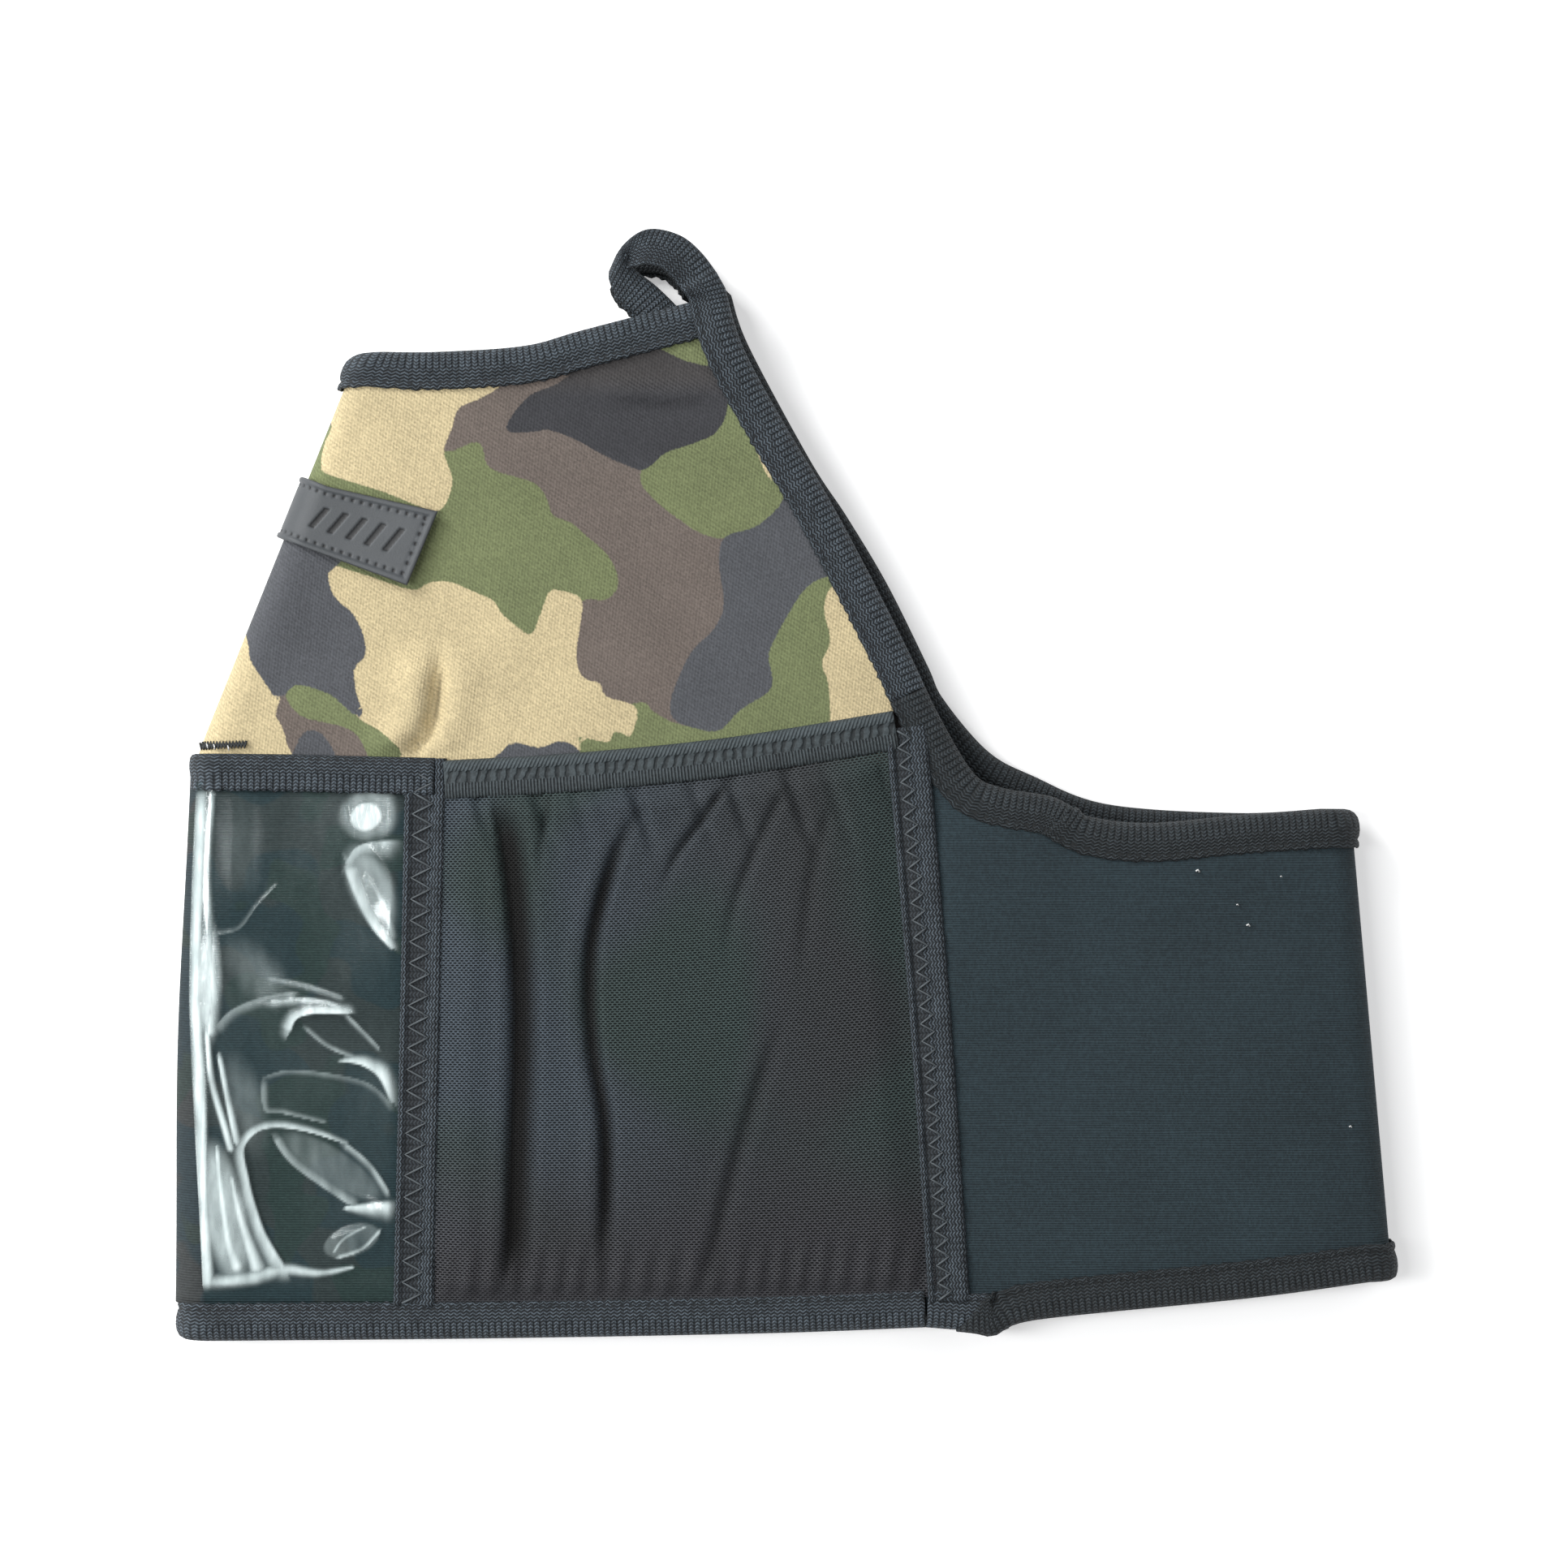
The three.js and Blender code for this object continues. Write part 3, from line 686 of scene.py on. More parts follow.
def band(name, stations, finish, section=SECTION, lift=0.0, lead=0.0, seed=1, ragged=0.22):
    """Tape of some section along the stations. Where it is lapped it lifts, and starts on a slant"""
    edge, inward, facing, pressed = stations
    along = lengths(edge + 5 * facing)
    travel = np.gradient(edge, axis=0)
    travel /= np.maximum(np.linalg.norm(travel, axis=1), 1e-6)[:, None]
    section = np.array(section)
    across = lengths(section)
    width = section[:, 0].max()
    start = 1 - ease(along, 0, 12)
    raised = lift if isinstance(lift, np.ndarray) else lift * start

    def lay(u, v):
        i = np.rint(u * (len(edge) - 1)).astype(int)
        j = np.rint(v * (len(section) - 1)).astype(int)
        depth, level = section[j].T
        lip = (depth > 0.93 * width) & (level > SECTION_MIDDLE)
        depth = depth + lip * (ragged * np.sin(along[i] * 2.9) + 0.5 * ragged * np.sin(along[i] * 1.3 + seed))
        puff = 0.14 * np.sin(along[i] * 0.42 + seed) + 0.08 * np.sin(along[i] * 1.1 + 2 * seed)
        level = level + np.where(level > 7.55, puff, 0) + raised[i] * (level > SECTION_MIDDLE)
        level = level * (1 - pressed[i, 0]) + (level - raised[i] - SECTION_MIDDLE) * 0.34 * pressed[i, 0]
        slant = lead * (1 - depth / width) * start[i]
        place = edge[i] + inward[i] * depth[:, None] + facing[i] * level[:, None] + travel[i] * slant[:, None]
        return place, np.stack([along[i] + slant, across[j]], 1)

    piece = cloth(name, len(edge) - 1, len(section) - 1, lay)
    piece.data.materials.append(finish)
    thicken(piece, TAPE_THICK)
    return piece


def knitted_tape(name, dark, light, channel=None):
    """Elastic tape: rows of zigzag threads along it, stacked into ribs across it. A channel between two
    depths is left bare for a zigzag seam"""
    finish = Finish(name)
    along, across, _ = finish.parts(finish.named("weave", "Vector"))
    zig = finish.math("PINGPONG", along, 0.75)
    row = (across + zig * 0.65) / 0.82
    phase = finish.math("FRACT", row)
    strand = 1 - finish.math("ABSOLUTE", phase * 2 - 1)
    leg = finish.clear_step(finish.math("FRACT", along / 1.5), 0.45, 0.55)
    stitch = finish.speckle(finish.vector(along / 0.75, row))
    rib = finish.math("ABSOLUTE", finish.math("FRACT", along / 1.5 + 0.5) * 2 - 1)
    groove = 1 - finish.clear_step(rib, 0.0, 0.55)
    rim = finish.clear_step(across, 4.6, 6.2) if channel is None else 0.3
    thread = (strand ** (2.4 - rim * 1.2)) * (0.45 + leg * 0.40 + stitch * 0.9)
    thread = thread * (1 - groove * (rim * 0.75 + 0.05))
    dash = finish.clear_step(finish.math("FRACT", along / 2.1), 0.5, 0.6)
    if channel is None:
        bare = finish.clear_step(across, 1.5, 1.9) * (1 - finish.clear_step(across, 2.3, 2.7)) * dash
    else:
        bare = finish.clear_step(across, channel[0], channel[0] + 0.4)
        bare = bare * (1 - finish.clear_step(across, channel[1] - 0.4, channel[1])) * 0.8
    worn = finish.noise(finish.vector(along, across), 0.12)
    colour = finish.mixed(thread * (0.55 + worn * 0.9) * (1 - bare * 0.9), dark, light)
    height = strand * (0.6 + leg * 0.4) * (1 - bare) - groove * (rim * 0.9 + 0.05)
    return finish.coated(colour, height, 0.36, 0.8)


TAPE_SHADE, TAPE_THREAD = (0.006, 0.008, 0.010), (0.118, 0.150, 0.180)
tape = knitted_tape("binding_knit", TAPE_SHADE, TAPE_THREAD)
# A darker copy of the binding knit, used on the back panel's bindings and on the far side. On the far slope
# binding, which lies underneath, its darkness is painted shade.
dark_tape = knitted_tape("binding_knit_dark", (0.005, 0.007, 0.008), (0.050, 0.064, 0.074))
FOOT, FOOT_WAY = (-136.6, -130.2), (0.028, 0.9996)
HEAD, HEAD_WAY = (-95.0, 101.9), (-0.372, -0.928)
BACK_FOOT, BACK_FOOT_WAY = (136.6, -116.4), (-0.09, 0.996)
BACK_HEAD, BACK_HEAD_WAY = (126.6, -5.4), (0.09, -0.996)
SEAM_HALF = 7.0  # half the length of tape that bends over the far side seam
rim_bottom = np.vstack([smooth_line(BOTTOM_FRONT), smooth_line(BOTTOM_BACK)[1:]])
far_bottom = np.vstack([smooth_line(BOTTOM_FRONT), smooth_line(BOTTOM_BACK[:1] + BOTTOM_BACK[2:])[1:]])
rim_slope = {side: smooth_line(SLOPE[side] + BACK_TOP[side]) for side in (1, -1)}
rim_top = np.vstack([smooth_line(TOP_EDGE), (-18.5, 114.7)])


def stretch(line, low=-1e3, high=1e3):
    """The part of a line between two values of x, ending exactly on them"""
    part = line[(line[:, 0] > low + 0.05) & (line[:, 0] < high - 0.05)]
    ends = [np.array([[x, np.interp(x, line[:, 0], line[:, 1])]]) for x in (low, high) if abs(x) < 1e3]
    before = ends[:1] if low > -1e3 else []
    after = ends[-1:] if high < 1e3 else []
    return np.vstack([*before, part, *after])


bottom_front = band("bottom_binding_front", joined_runs(
    flat_run(stretch(rim_bottom, high=SEAM_X)[::-1], 1, -1),
    turn_run(FOOT, FOOT_WAY, (-1, 0), 1),
    flat_run(stretch(far_bottom, high=SEAM_X - SEAM_HALF), -1, 1)), tape)
fold_front(bottom_front)
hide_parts("bottom_binding_front_near", "bottom_binding_front_far")

bottom_back = band("bottom_binding_back", joined_runs(
    flat_run(stretch(rim_bottom, low=46.5), 1, 1),
    turn_run(BACK_FOOT, BACK_FOOT_WAY, (1, 0), 1),
    flat_run(stretch(far_bottom, low=SEAM_X + SEAM_HALF)[::-1], -1, -1)),
    dark_tape, lift=0.9, lead=-7.0, seed=2)
fold_back(bottom_back)
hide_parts("bottom_binding_back_near", "bottom_binding_back_far")


def bend_near_seam(piece):
    """Bakes a piece's placement into its mesh"""
    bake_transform(piece)


# This length has no inner leg past its rim
bottom_lap = flat_run(stretch(rim_bottom, SEAM_X, 52.0), 1, 1)
bottom_lap = band("bottom_binding_lap", bottom_lap, tape, SECTION[:LAP_LEGS], seed=3)
bend_near_seam(bottom_lap)

top_binding = band("top_binding", joined_runs(
    fan(flat_run(rim_top[::-1], 1, 1), HEAD, HEAD_WAY),
    turn_run(HEAD, HEAD_WAY, (-1.077, 0), 1),
    fan(flat_run(rim_top, -1, -1), HEAD, HEAD_WAY)), tape, seed=4)
fold_front(top_binding)
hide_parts("top_binding_near", "top_binding_far")

# The strap loop's course from the tip of the slope: the middle of the strap and the way to its rim
LOOP = [
    ((-20.7, 117.8, 8.3), (0.88, 0.47, 0.0)),
    ((-23.4, 121.2, 9.6), (0.78, 0.62, 0.0)),
    ((-27.2, 124.3, 10.8), (0.60, 0.80, -0.05)),
    ((-32.4, 125.4, 11.0), (0.36, 0.93, 0.05)),
    ((-37.2, 124.2, 9.6), (0.30, 0.75, 0.55)),
    ((-39.8, 121.4, 7.4), (0.36, 0.55, 0.75)),
    ((-38.3, 117.9, 5.0), (0.52, 0.68, 0.50)),
    ((-34.0, 114.2, 3.6), (0.72, 0.66, 0.15)),
    ((-29.6, 110.0, 2.2), (0.80, 0.60, 0.0)),
    ((-26.0, 105.6, 1.2), (0.84, 0.54, 0.0)),
    ((-23.4, 101.0, 0.9), (0.86, 0.50, 0.0)),
]
STRAP_HALF = 4.6
LOOP_HEIGHT = {1: 1.0, -1: 0.5}  # the far loop lies flatter
TIP_LEVEL = 8.3  # where a strap leaves the tip


def loop_run(side):
    """Stations along the strap loop, on from the tip of a slope"""
    height = LOOP_HEIGHT[side]
    course = smooth_line([(*middle, *way) for middle, way in LOOP], steps=5)
    middle, way = course[:, :3] * (1, 1, side * height), course[:, 3:] * (1, 1, side * height)
    way /= np.linalg.norm(way, axis=1)[:, None]
    travel = np.gradient(middle, axis=0)
    facing = np.cross(way, travel) * side
    facing /= np.linalg.norm(facing, axis=1)[:, None]
    return [middle + way * STRAP_HALF, -way, facing, np.ones((len(course), 1))]


def slope_run(side, low_end):
    """Stations up a slope and round its strap loop"""
    up = flat_run(stretch(rim_slope[side], high=low_end)[::-1], side, 1)
    stations = joined_runs(up, loop_run(side))
    ramp = ease(np.arange(len(stations[0])), len(up[0]) - 7, len(up[0]) + 3)[:, None]
    stations[3] = ramp
    stations[0][:len(up[0]), 2] = (ramp * side * TIP_LEVEL * LOOP_HEIGHT[side])[:len(up[0]), 0]
    lift = max(side, 0) * ease(stations[0][:, 1], 92, 104)
    return stations, lift


stations, rise = slope_run(1, SEAM_X)
near_slope = band("slope_binding_near", stations, tape, lift=rise, seed=5)
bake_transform(near_slope)
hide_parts("slope_binding_near", "strap_loop_near")
stations, rise = slope_run(-1, SEAM_X - SEAM_HALF)
# Painted shade: the far slope binding takes the darker copy of the tape.
far_slope = band("slope_binding_far", stations, dark_tape, lift=rise, seed=6)
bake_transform(far_slope)
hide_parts("slope_binding_far", "strap_loop_far")

slope_lap = band("slope_binding_lap", flat_run(stretch(rim_slope[1], SEAM_X, 69.0), 1, -1), dark_tape, seed=7)
bend_near_seam(slope_lap)

back_top = band("back_top_binding", joined_runs(
    flat_run(stretch(rim_slope[1], low=63.0), 1, -1),
    turn_run(BACK_HEAD, BACK_HEAD_WAY, (1, 0), 1),
    flat_run(stretch(rim_slope[-1], low=SEAM_X + SEAM_HALF)[::-1], -1, 1)),
    dark_tape, lift=0.9, lead=5.0, seed=8)
fold_back(back_top)
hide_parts("back_top_binding_near", "back_top_binding_far")


def bend_far_seam(piece):
    """Bakes a piece's placement into its mesh"""
    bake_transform(piece)


for place, rim in (("bottom", far_bottom), ("top", rim_slope[-1])):
    way = 1 if place == "bottom" else -1
    hinge = stretch(rim, SEAM_X - SEAM_HALF, SEAM_X + SEAM_HALF)
    across_seam = band(f"{place}_binding_far_seam", flat_run(hinge, -1, way), dark_tape, seed=9)
    bend_far_seam(across_seam)

# ---- Window backing ---------------------------------------------------------------------------
# Thin black knit behind the clear windows, in one piece round the front crease. The camouflage of
# the panel shows through it very faintly.

WINDOW_FLOOR = -121.5
BACKING_LEVEL, BACKING_THICK = 6.8, 0.4


def lay_backing(across, up):
    y = WINDOW_FLOOR + (4.0 - WINDOW_FLOOR) * up
    half = -86.5 - crease_x(y) - 3.0 * (1 - up)
    reach = half - across * (2 * half + math.pi * BACKING_LEVEL)
    place = round_front(reach, y, BACKING_LEVEL)
    bulge = 1.1 + 1.5 * hump(y + 60, 45)
    place[:, 0] -= bulge * hump(place[:, 2], 5.0) * (place[:, 0] < crease_x(y))
    return place, np.stack([reach, y], 1)


def faint_camouflage():
    finish = Finish("window_knit")
    weave = finish.named("weave", "Vector")
    x, y, _ = finish.parts(weave)
    blots = finish.noise(weave, 0.045, 1.0)
    others = finish.noise(finish.vector(x + 90, y), 0.05, 1.0)
    colour = finish.mixed(finish.clear_step(blots, 0.52, 0.545), (0.023, 0.038, 0.045), (0.038, 0.043, 0.044))
    colour = finish.mixed(finish.clear_step(others, 0.56, 0.58), colour, (0.028, 0.043, 0.040))
    grain = finish.speckle(finish.vector(x / 0.5, y / 0.5))
    ribs = finish.math("SINE", y * (2 * math.pi / 0.6))
    return finish.coated(finish.lit(colour, 0.8 + grain * 0.3 + ribs * 0.1), ribs + grain, 0.06, 0.9)


backing = cloth("window_backing", 90, 60, lay_backing)
backing.data.materials.append(faint_camouflage())
thicken(backing, BACKING_THICK)
fold_front(backing)
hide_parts("window_backing_near", "window_backing_far")

# ---- Clear windows ----------------------------------------------------------------------------
# A sheet of soft clear vinyl on each side, a quarter of a millimetre thick, sewn along three edges
# and free along the fold. It has taken waves from being handled, and they catch the light.

VINYL_THICK = 0.25
VINYL_EDGE_LEVEL, VINYL_LEVEL = 7.1, 8.2
WINDOW_EDGE = [(-136.4, -122), (-137.6, -100), (-139.0, -76), (-140.3, -50), (-139.7, -22), (-138.6, 1)]
WINDOW_SIDE = [(-88.0, -122.0), (-86.0, 1.0)]
FOLD_REACH, FOLD_LEVEL = 9.0, 7.7  # the free edge follows the fold as an ellipse
# Painted reflections of the lights, as streaks of whitish gloss laid into the sheet.
GLARE_STROKES = [  # course; how far it spreads to its left and right; how that grows; how white
    ([(-136.9, -1), (-137.8, -22), (-138.6, -46), (-137.8, -62), (-136.8, -88), (-135.8, -109),
      (-135.4, -117)], 1.1, 1.5, (1, 1), 0.9),
    ([(-134.9, -1), (-135.9, -12), (-136.4, -24), (-135.5, -38), (-134.3, -49), (-135.2, -57)],
     1.5, 0.5, (0.6, 1), 0.7),
    ([(-136.0, -56.8), (-134.7, -68.8), (-131.8, -79.1), (-130.2, -84.6)], 0.8, 0.6, (0.8, 1), 0.95),
    ([(-133.0, -62.8), (-130.8, -73.9), (-128.9, -83.0)], 0.9, 0.4, (0.7, 1.2), 0.8),
    ([(-133.4, -84.2), (-132.2, -96.1), (-130.6, -106.4), (-128.8, -112.0)], 0.9, 0.8, (0.5, 1.7), 0.95),
    ([(-129.9, -91.0), (-127.9, -101.0), (-124.2, -112.4)], 1.0, 0.8, (0.4, 1.6), 0.95),
    ([(-103.4, -83.5), (-111.1, -80.9), (-118.8, -79.6), (-123.9, -80.6), (-127.2, -84.6), (-126.4, -91),
      (-124.7, -98), (-122.2, -105), (-117.8, -112.4)], 0.35, 1.7, (0.4, 1.3), 0.75),
    ([(-136.2, -116.6), (-126, -114.9), (-117.4, -112.9), (-109.4, -113.7), (-101.7, -112.4)],
     1.1, 1.3, (1.6, 0.25), 0.7),
    ([(-116.4, -57.4), (-114.8, -54.2), (-110.5, -52.9), (-103.4, -53.0)], 2.1, 0.35, (0.8, 0.7), 0.9),
    ([(-121.4, -50.4), (-115.0, -49.8), (-108.0, -50.4), (-103.8, -52.0)], 0.5, 1.4, (0.9, 0.8), 0.5),
    ([(-121.8, -44.8), (-113.0, -46.4), (-104.4, -49.2)], 0.4, 0.9, (1, 1), 0.26),
    ([(-104.3, -64.4), (-99.6, -64.9), (-95.2, -67.8), (-92.2, -73.6)], 2.3, 0.4, (0.25, 1.4), 0.9),
    ([(-103.6, -98.5), (-98.5, -98.2), (-91.6, -98.0)], 0.6, 1.5, (0.25, 1.8), 0.9),
    ([(-106.2, -109.0), (-103.6, -105.6), (-98.8, -102.9)], 0.3, 0.6, (0.8, 0.8), 0.45),
    ([(-105.1, -110.3), (-99.3, -108.2), (-95.4, -104.3)], 0.8, 0.3, (0.8, 0.8), 0.6),
    ([(-102.9, -19.0), (-100.6, -25.6), (-97.2, -32.2), (-92.4, -37.8)], 2.4, 0.6, (1.2, 0.6), 0.9),
    ([(-98.0, -21.6), (-94.6, -28.0), (-92.4, -35.0)], 1.2, 0.7, (1, 1), 0.55),
    ([(-103.4, -18.6), (-100.8, -14.6), (-96.2, -13.2), (-90.6, -13.0)], 0.3, 2.6, (0.8, 1.2), 0.5),
    ([(-103.4, -83.5), (-97.8, -88.2), (-93.2, -94.8)], 0.3, 1.0, (1, 1), 0.45),
    ([(-120.0, -82.4), (-115.2, -88.6), (-102.4, -97.6)], 1.7, 0.3, (0.8, 1), 0.4),
    ([(-112.8, -56.6), (-107.6, -60.8), (-101.6, -63.4)], 0.7, 0.25, (1, 1), 0.3),
    ([(-103.2, -53.2), (-99.0, -57.4), (-95.4, -61.2)], 0.25, 0.7, (1, 1), 0.35),
    ([(-134.0, -34.6), (-128.2, -33.4), (-123.9, -27.8), (-119.6, -23.1)], 0.9, 0.2, (1, 0.5), 0.14),
    ([(-134.0, -56.8), (-129.9, -52.6), (-123.0, -49.6), (-116.2, -48.3)], 0.3, 1.6, (1, 1), 0.26),
    ([(-122.8, -68.8), (-122.2, -75.6), (-117.9, -76.4), (-108.5, -78.6)], 1.2, 0.2, (1, 0.6), 0.24),
    ([(-122.2, -67.9), (-116.2, -66.4), (-106, -67.4), (-97.4, -69.8), (-92.3, -74.8)],
     0.2, 1.2, (0.7, 1), 0.2),
]
# Painted reflections of the lights, as ovals of whitish gloss.
# a tilted oval's centre; half length and width; tilt; how white; from where to where it fades, as shares
GLARE_OVALS = [
    ((-98.5, -7.2), 4.2, 3.7, 20, 1.0, (0.7, 1.05)),
    ((-97.6, -6.6), 8.0, 6.6, 10, 0.30, (0.6, 1.1)),
    ((-97.0, -24.0), 12.5, 5.8, -64, 0.34, (0.5, 1.1)),
    ((-106.5, -88.8), 15.0, 4.6, -33, 0.13, (0.7, 1.05)),
    ((-103.4, -90.7), 6.6, 3.0, -33, 0.10, (0.85, 1.0)),
    ((-101.9, -106.2), 7.3, 3.9, 20, 0.13, (0.85, 1.0)),
    ((-131.6, -100.0), 18.0, 6.0, -78, 0.50, (0.5, 1.15)),
    ((-136.0, -46.0), 17.0, 4.4, 90, 0.55, (0.3, 1.1)),
    ((-124.0, -44.0), 12.0, 6.5, -50, 0.13, (0.2, 1.2)),
    ((-127.0, -74.0), 14.0, 6.0, -75, 0.14, (0.2, 1.2)),
    ((-128.0, -14.0), 16.0, 7.5, 90, 0.07, (0.2, 1.1)),
]


def oval(x, y, centre, half_length, half_width, tilt):
    """How far out from a tilted oval's centre points are; 1 is its rim"""
    dx, dy = x - centre[0], y - centre[1]
    turn = math.radians(tilt)
    u = (dx * math.cos(turn) + dy * math.sin(turn)) / half_length
    v = (dy * math.cos(turn) - dx * math.sin(turn)) / half_width
    return np.sqrt(u * u + v * v)


def beside(points, line):
    """How far points are to the left of a line, less than zero to its right, and the share along it"""
    gap, share = nearest(points, line)
    knots = np.linspace(0, 1, len(line))
    offset = points - np.stack([np.interp(share, knots, line[:, k]) for k in (0, 1)], 1)
    normal = np.stack([np.interp(share, knots, left_of(line)[:, k]) for k in (0, 1)], 1)
    return np.copysign(gap, (offset * normal).sum(1)), share


def painted_glare(x, y):
    """How white the painted reflections of the lights make the sheet, from 0 to 1"""
    points = np.stack([x, y], 1)
    white = 0.02 + 0.015 * waviness(x, y, 33, 9.0)
    for *shape, amount, (full, faded) in GLARE_OVALS:
        white = np.maximum(white, amount * (1 - ease(oval(x, y, *shape), full, faded)))
    for course, left, right, (first, last), amount in GLARE_STROKES:
        gap, share = beside(points, smooth_line(course, steps=6))
        spread = np.where(gap > 0, left, right) * (first + (last - first) * share)
        white = np.maximum(white, amount * (0.5 + 0.5 * ease(share, 0, 0.1)) * hump(gap, spread))
    return np.clip(white * (0.88 + 0.2 * waviness(x * 1.6, y * 0.5, 31, 1.8)), 0, 1)


def vinyl_relief(x, y):
    """The waves in the clear sheet"""
    lenses = -0.5 * (1 - ease(oval(x, y, (-106.7, -89.0), 16.0, 4.9, -33), 0.6, 1.1))
    lenses = lenses + 0.4 * (1 - ease(oval(x, y, (-101.9, -106.2), 7.3, 3.9, 20), 0.4, 1.1))
    lenses = lenses - 0.6 * (1 - ease(oval(x, y, (-97.9, -24.0), 11.5, 5.6, -72), 0.3, 1.1))
    return lenses + (0.5 * hump(x + 130, 3.0) + 0.12 * waviness(x, y, 12, 7.5)) * ease(x, -137, -130)


def clear_vinyl():
    """Clear glossy sheet, with painted reflections mixed in as whitish gloss"""
    finish = Finish("clear_vinyl")
    weave = finish.named("weave", "Vector")
    x, y, white = finish.parts(weave)
    streaks = finish.noise(finish.vector(x, y * 0.35), 0.9, 3.0)
    bump = finish.node("ShaderNodeBump", (), {"Height": streaks, "Distance": 0.00006, "Strength": 1.0})
    sockets = {"Base Color": (0.80, 0.90, 0.90, 1), "Roughness": 0.10, "IOR": 1.9, "Normal": bump}
    gloss = finish.node("ShaderNodeBsdfPrincipled", (), sockets)
    clear = finish.node("ShaderNodeBsdfTransparent", (), {"Color": (0.90, 0.95, 0.95, 1)})
    # The painted reflections: where they lie, whitish gloss takes the place of the clear sheet.
    share = (white ** 1.25) * (0.72 + streaks * 0.5)
    mix = finish.node("ShaderNodeMixShader", (), {0: share, 1: clear, 2: gloss})
    finish.node_out(mix)
    return finish.material


vinyl = clear_vinyl()
for side, word in ((1, "near"), (-1, "far")):
    def lay_vinyl(across, up):
        left, right = walk(smooth_line(WINDOW_EDGE), up), walk(np.array(WINDOW_SIDE), up)
        place = left * (1 - across[:, None]) + right * across[:, None]
        rise = vinyl_relief(place[:, 0], place[:, 1])
        over = np.clip((crease_x(place[:, 1]) - place[:, 0]) / FOLD_REACH, 0, 0.95)
        sewn = ease(across, 0.88, 0.93) + 1 - ease(-place[:, 1], 0.5, 2.5) + ease(-place[:, 1], 116.0, 118.5)
        sewn = np.minimum(sewn, 1)
        level = np.maximum(VINYL_LEVEL + rise, 7.15) * (1 - sewn) + VINYL_EDGE_LEVEL * sewn
        level = np.where(over > 0, FOLD_LEVEL + (level - FOLD_LEVEL) * (1 - ease(over, 0, 0.2)), level)
        level = level * np.sqrt(1 - over * over)
        if side < 0:
            level = 0.3 * level + 0.7 * VINYL_EDGE_LEVEL
        # Painted reflections, faded out where the sheet is sewn down.
        white = painted_glare(place[:, 0], place[:, 1]) * (1 - 0.9 * sewn)
        return np.column_stack([place, side * level]), np.column_stack([place, white])

    window = cloth(f"window_{word}", 130, 260, lay_vinyl)
    window.data.materials.append(vinyl)
    thicken(window, VINYL_THICK)
    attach(window, f"{word}_front")
    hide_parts(f"window_{word}")

# ---- Window top binding -----------------------------------------------------------------------
# One length of tape folded over the head of the windows and run round the front crease. The raw
# edge under it is overlocked in black; three loose stitches of white thread show at the left.

HEAD_SECTION = [(0.2, 6.5), (0.0, 7.0), (0.25, 7.6), (0.9, 8.05), (2.0, 8.25), (3.6, 8.25), (5.2, 8.05),
                (6.2, 7.75), (6.8, 7.95), (7.6, 8.05), (8.4, 7.9), (8.7, 7.5)]
head_near = smooth_line([(-82.5, 6.6), (-100.0, 7.0), (-116.0, 7.4), (-132.8, 7.6)])
head_binding = band("window_top_binding", joined_runs(
    flat_run(head_near, 1, 1),
    turn_run((-132.8, 7.6), (0, -1), (-1, 0), 1),
    flat_run(head_near[::-1], -1, -1)), tape, HEAD_SECTION, seed=10)
fold_front(head_binding)
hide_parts("window_top_binding_near", "window_top_binding_far")

# ---- Window and side tapes --------------------------------------------------------------------
# Four knitted tapes cover the edges of the pockets: one between window and mesh and one down the side
# seam, on each face. Each is sewn with a wide zigzag in its middle channel.

WINDOW_TAPE_SECTION = [(0.0, 6.7), (0.1, 7.4), (0.6, 7.8), (1.4, 7.85), (1.9, 7.5), (2.3, 7.35), (4.4, 7.4),
                       (6.6, 7.35), (7.0, 7.6), (7.8, 8.0), (8.9, 7.95), (9.5, 7.5), (9.7, 6.8)]
SIDE_TAPE_SECTION = [(0.0, 6.8), (0.1, 7.5), (0.5, 7.95), (1.1, 7.95), (1.5, 7.5), (2.0, 7.2), (2.5, 7.4),
                     (4.1, 7.5), (5.5, 7.4), (5.9, 7.7), (6.9, 8.15), (8.4, 8.15), (9.3, 7.9), (9.8, 7.0)]
TAPES = {
    "window_tape": ([(-92.3, -121.5), (-90.9, -60.0), (-89.5, 6.6)], WINDOW_TAPE_SECTION, (2.0, 6.9), 5.0),
    "side_tape": ([(32.9, -121.0), (28.6, -56.0), (22.9, 13.4)], SIDE_TAPE_SECTION, (2.4, 5.7), 4.1),
}


def cord(name, points, radius, finish, sides=6):
    """A round thread through points"""
    travel = np.gradient(points, axis=0)
    sideways = np.cross(travel, (0, 0, 1))
    sideways /= np.linalg.norm(sideways, axis=1)[:, None]
    upward = np.cross(sideways, travel)
    upward /= np.linalg.norm(upward, axis=1)[:, None]

    def lay(u, v):
        i = np.rint(u * (len(points) - 1)).astype(int)
        turn = 2 * math.pi * v[:, None]
        place = points[i] + radius * (np.cos(turn) * sideways[i] + np.sin(turn) * upward[i])
        return place, np.stack([i * 0.5, v], 1)

    piece = cloth(name, len(points) - 1, sides, lay, closed=True)
    piece.data.materials.append(finish)
    return piece


def plain_thread(name, colour):
    finish = Finish(name)
    twist = finish.math("SINE", finish.named("weave", "Vector") * 9.0)
    return finish.coated(finish.lit(colour, 0.85 + twist * 0.15), twist, 0.05, 0.6)


zigzag_thread = plain_thread("zigzag_thread", (0.085, 0.10, 0.11))


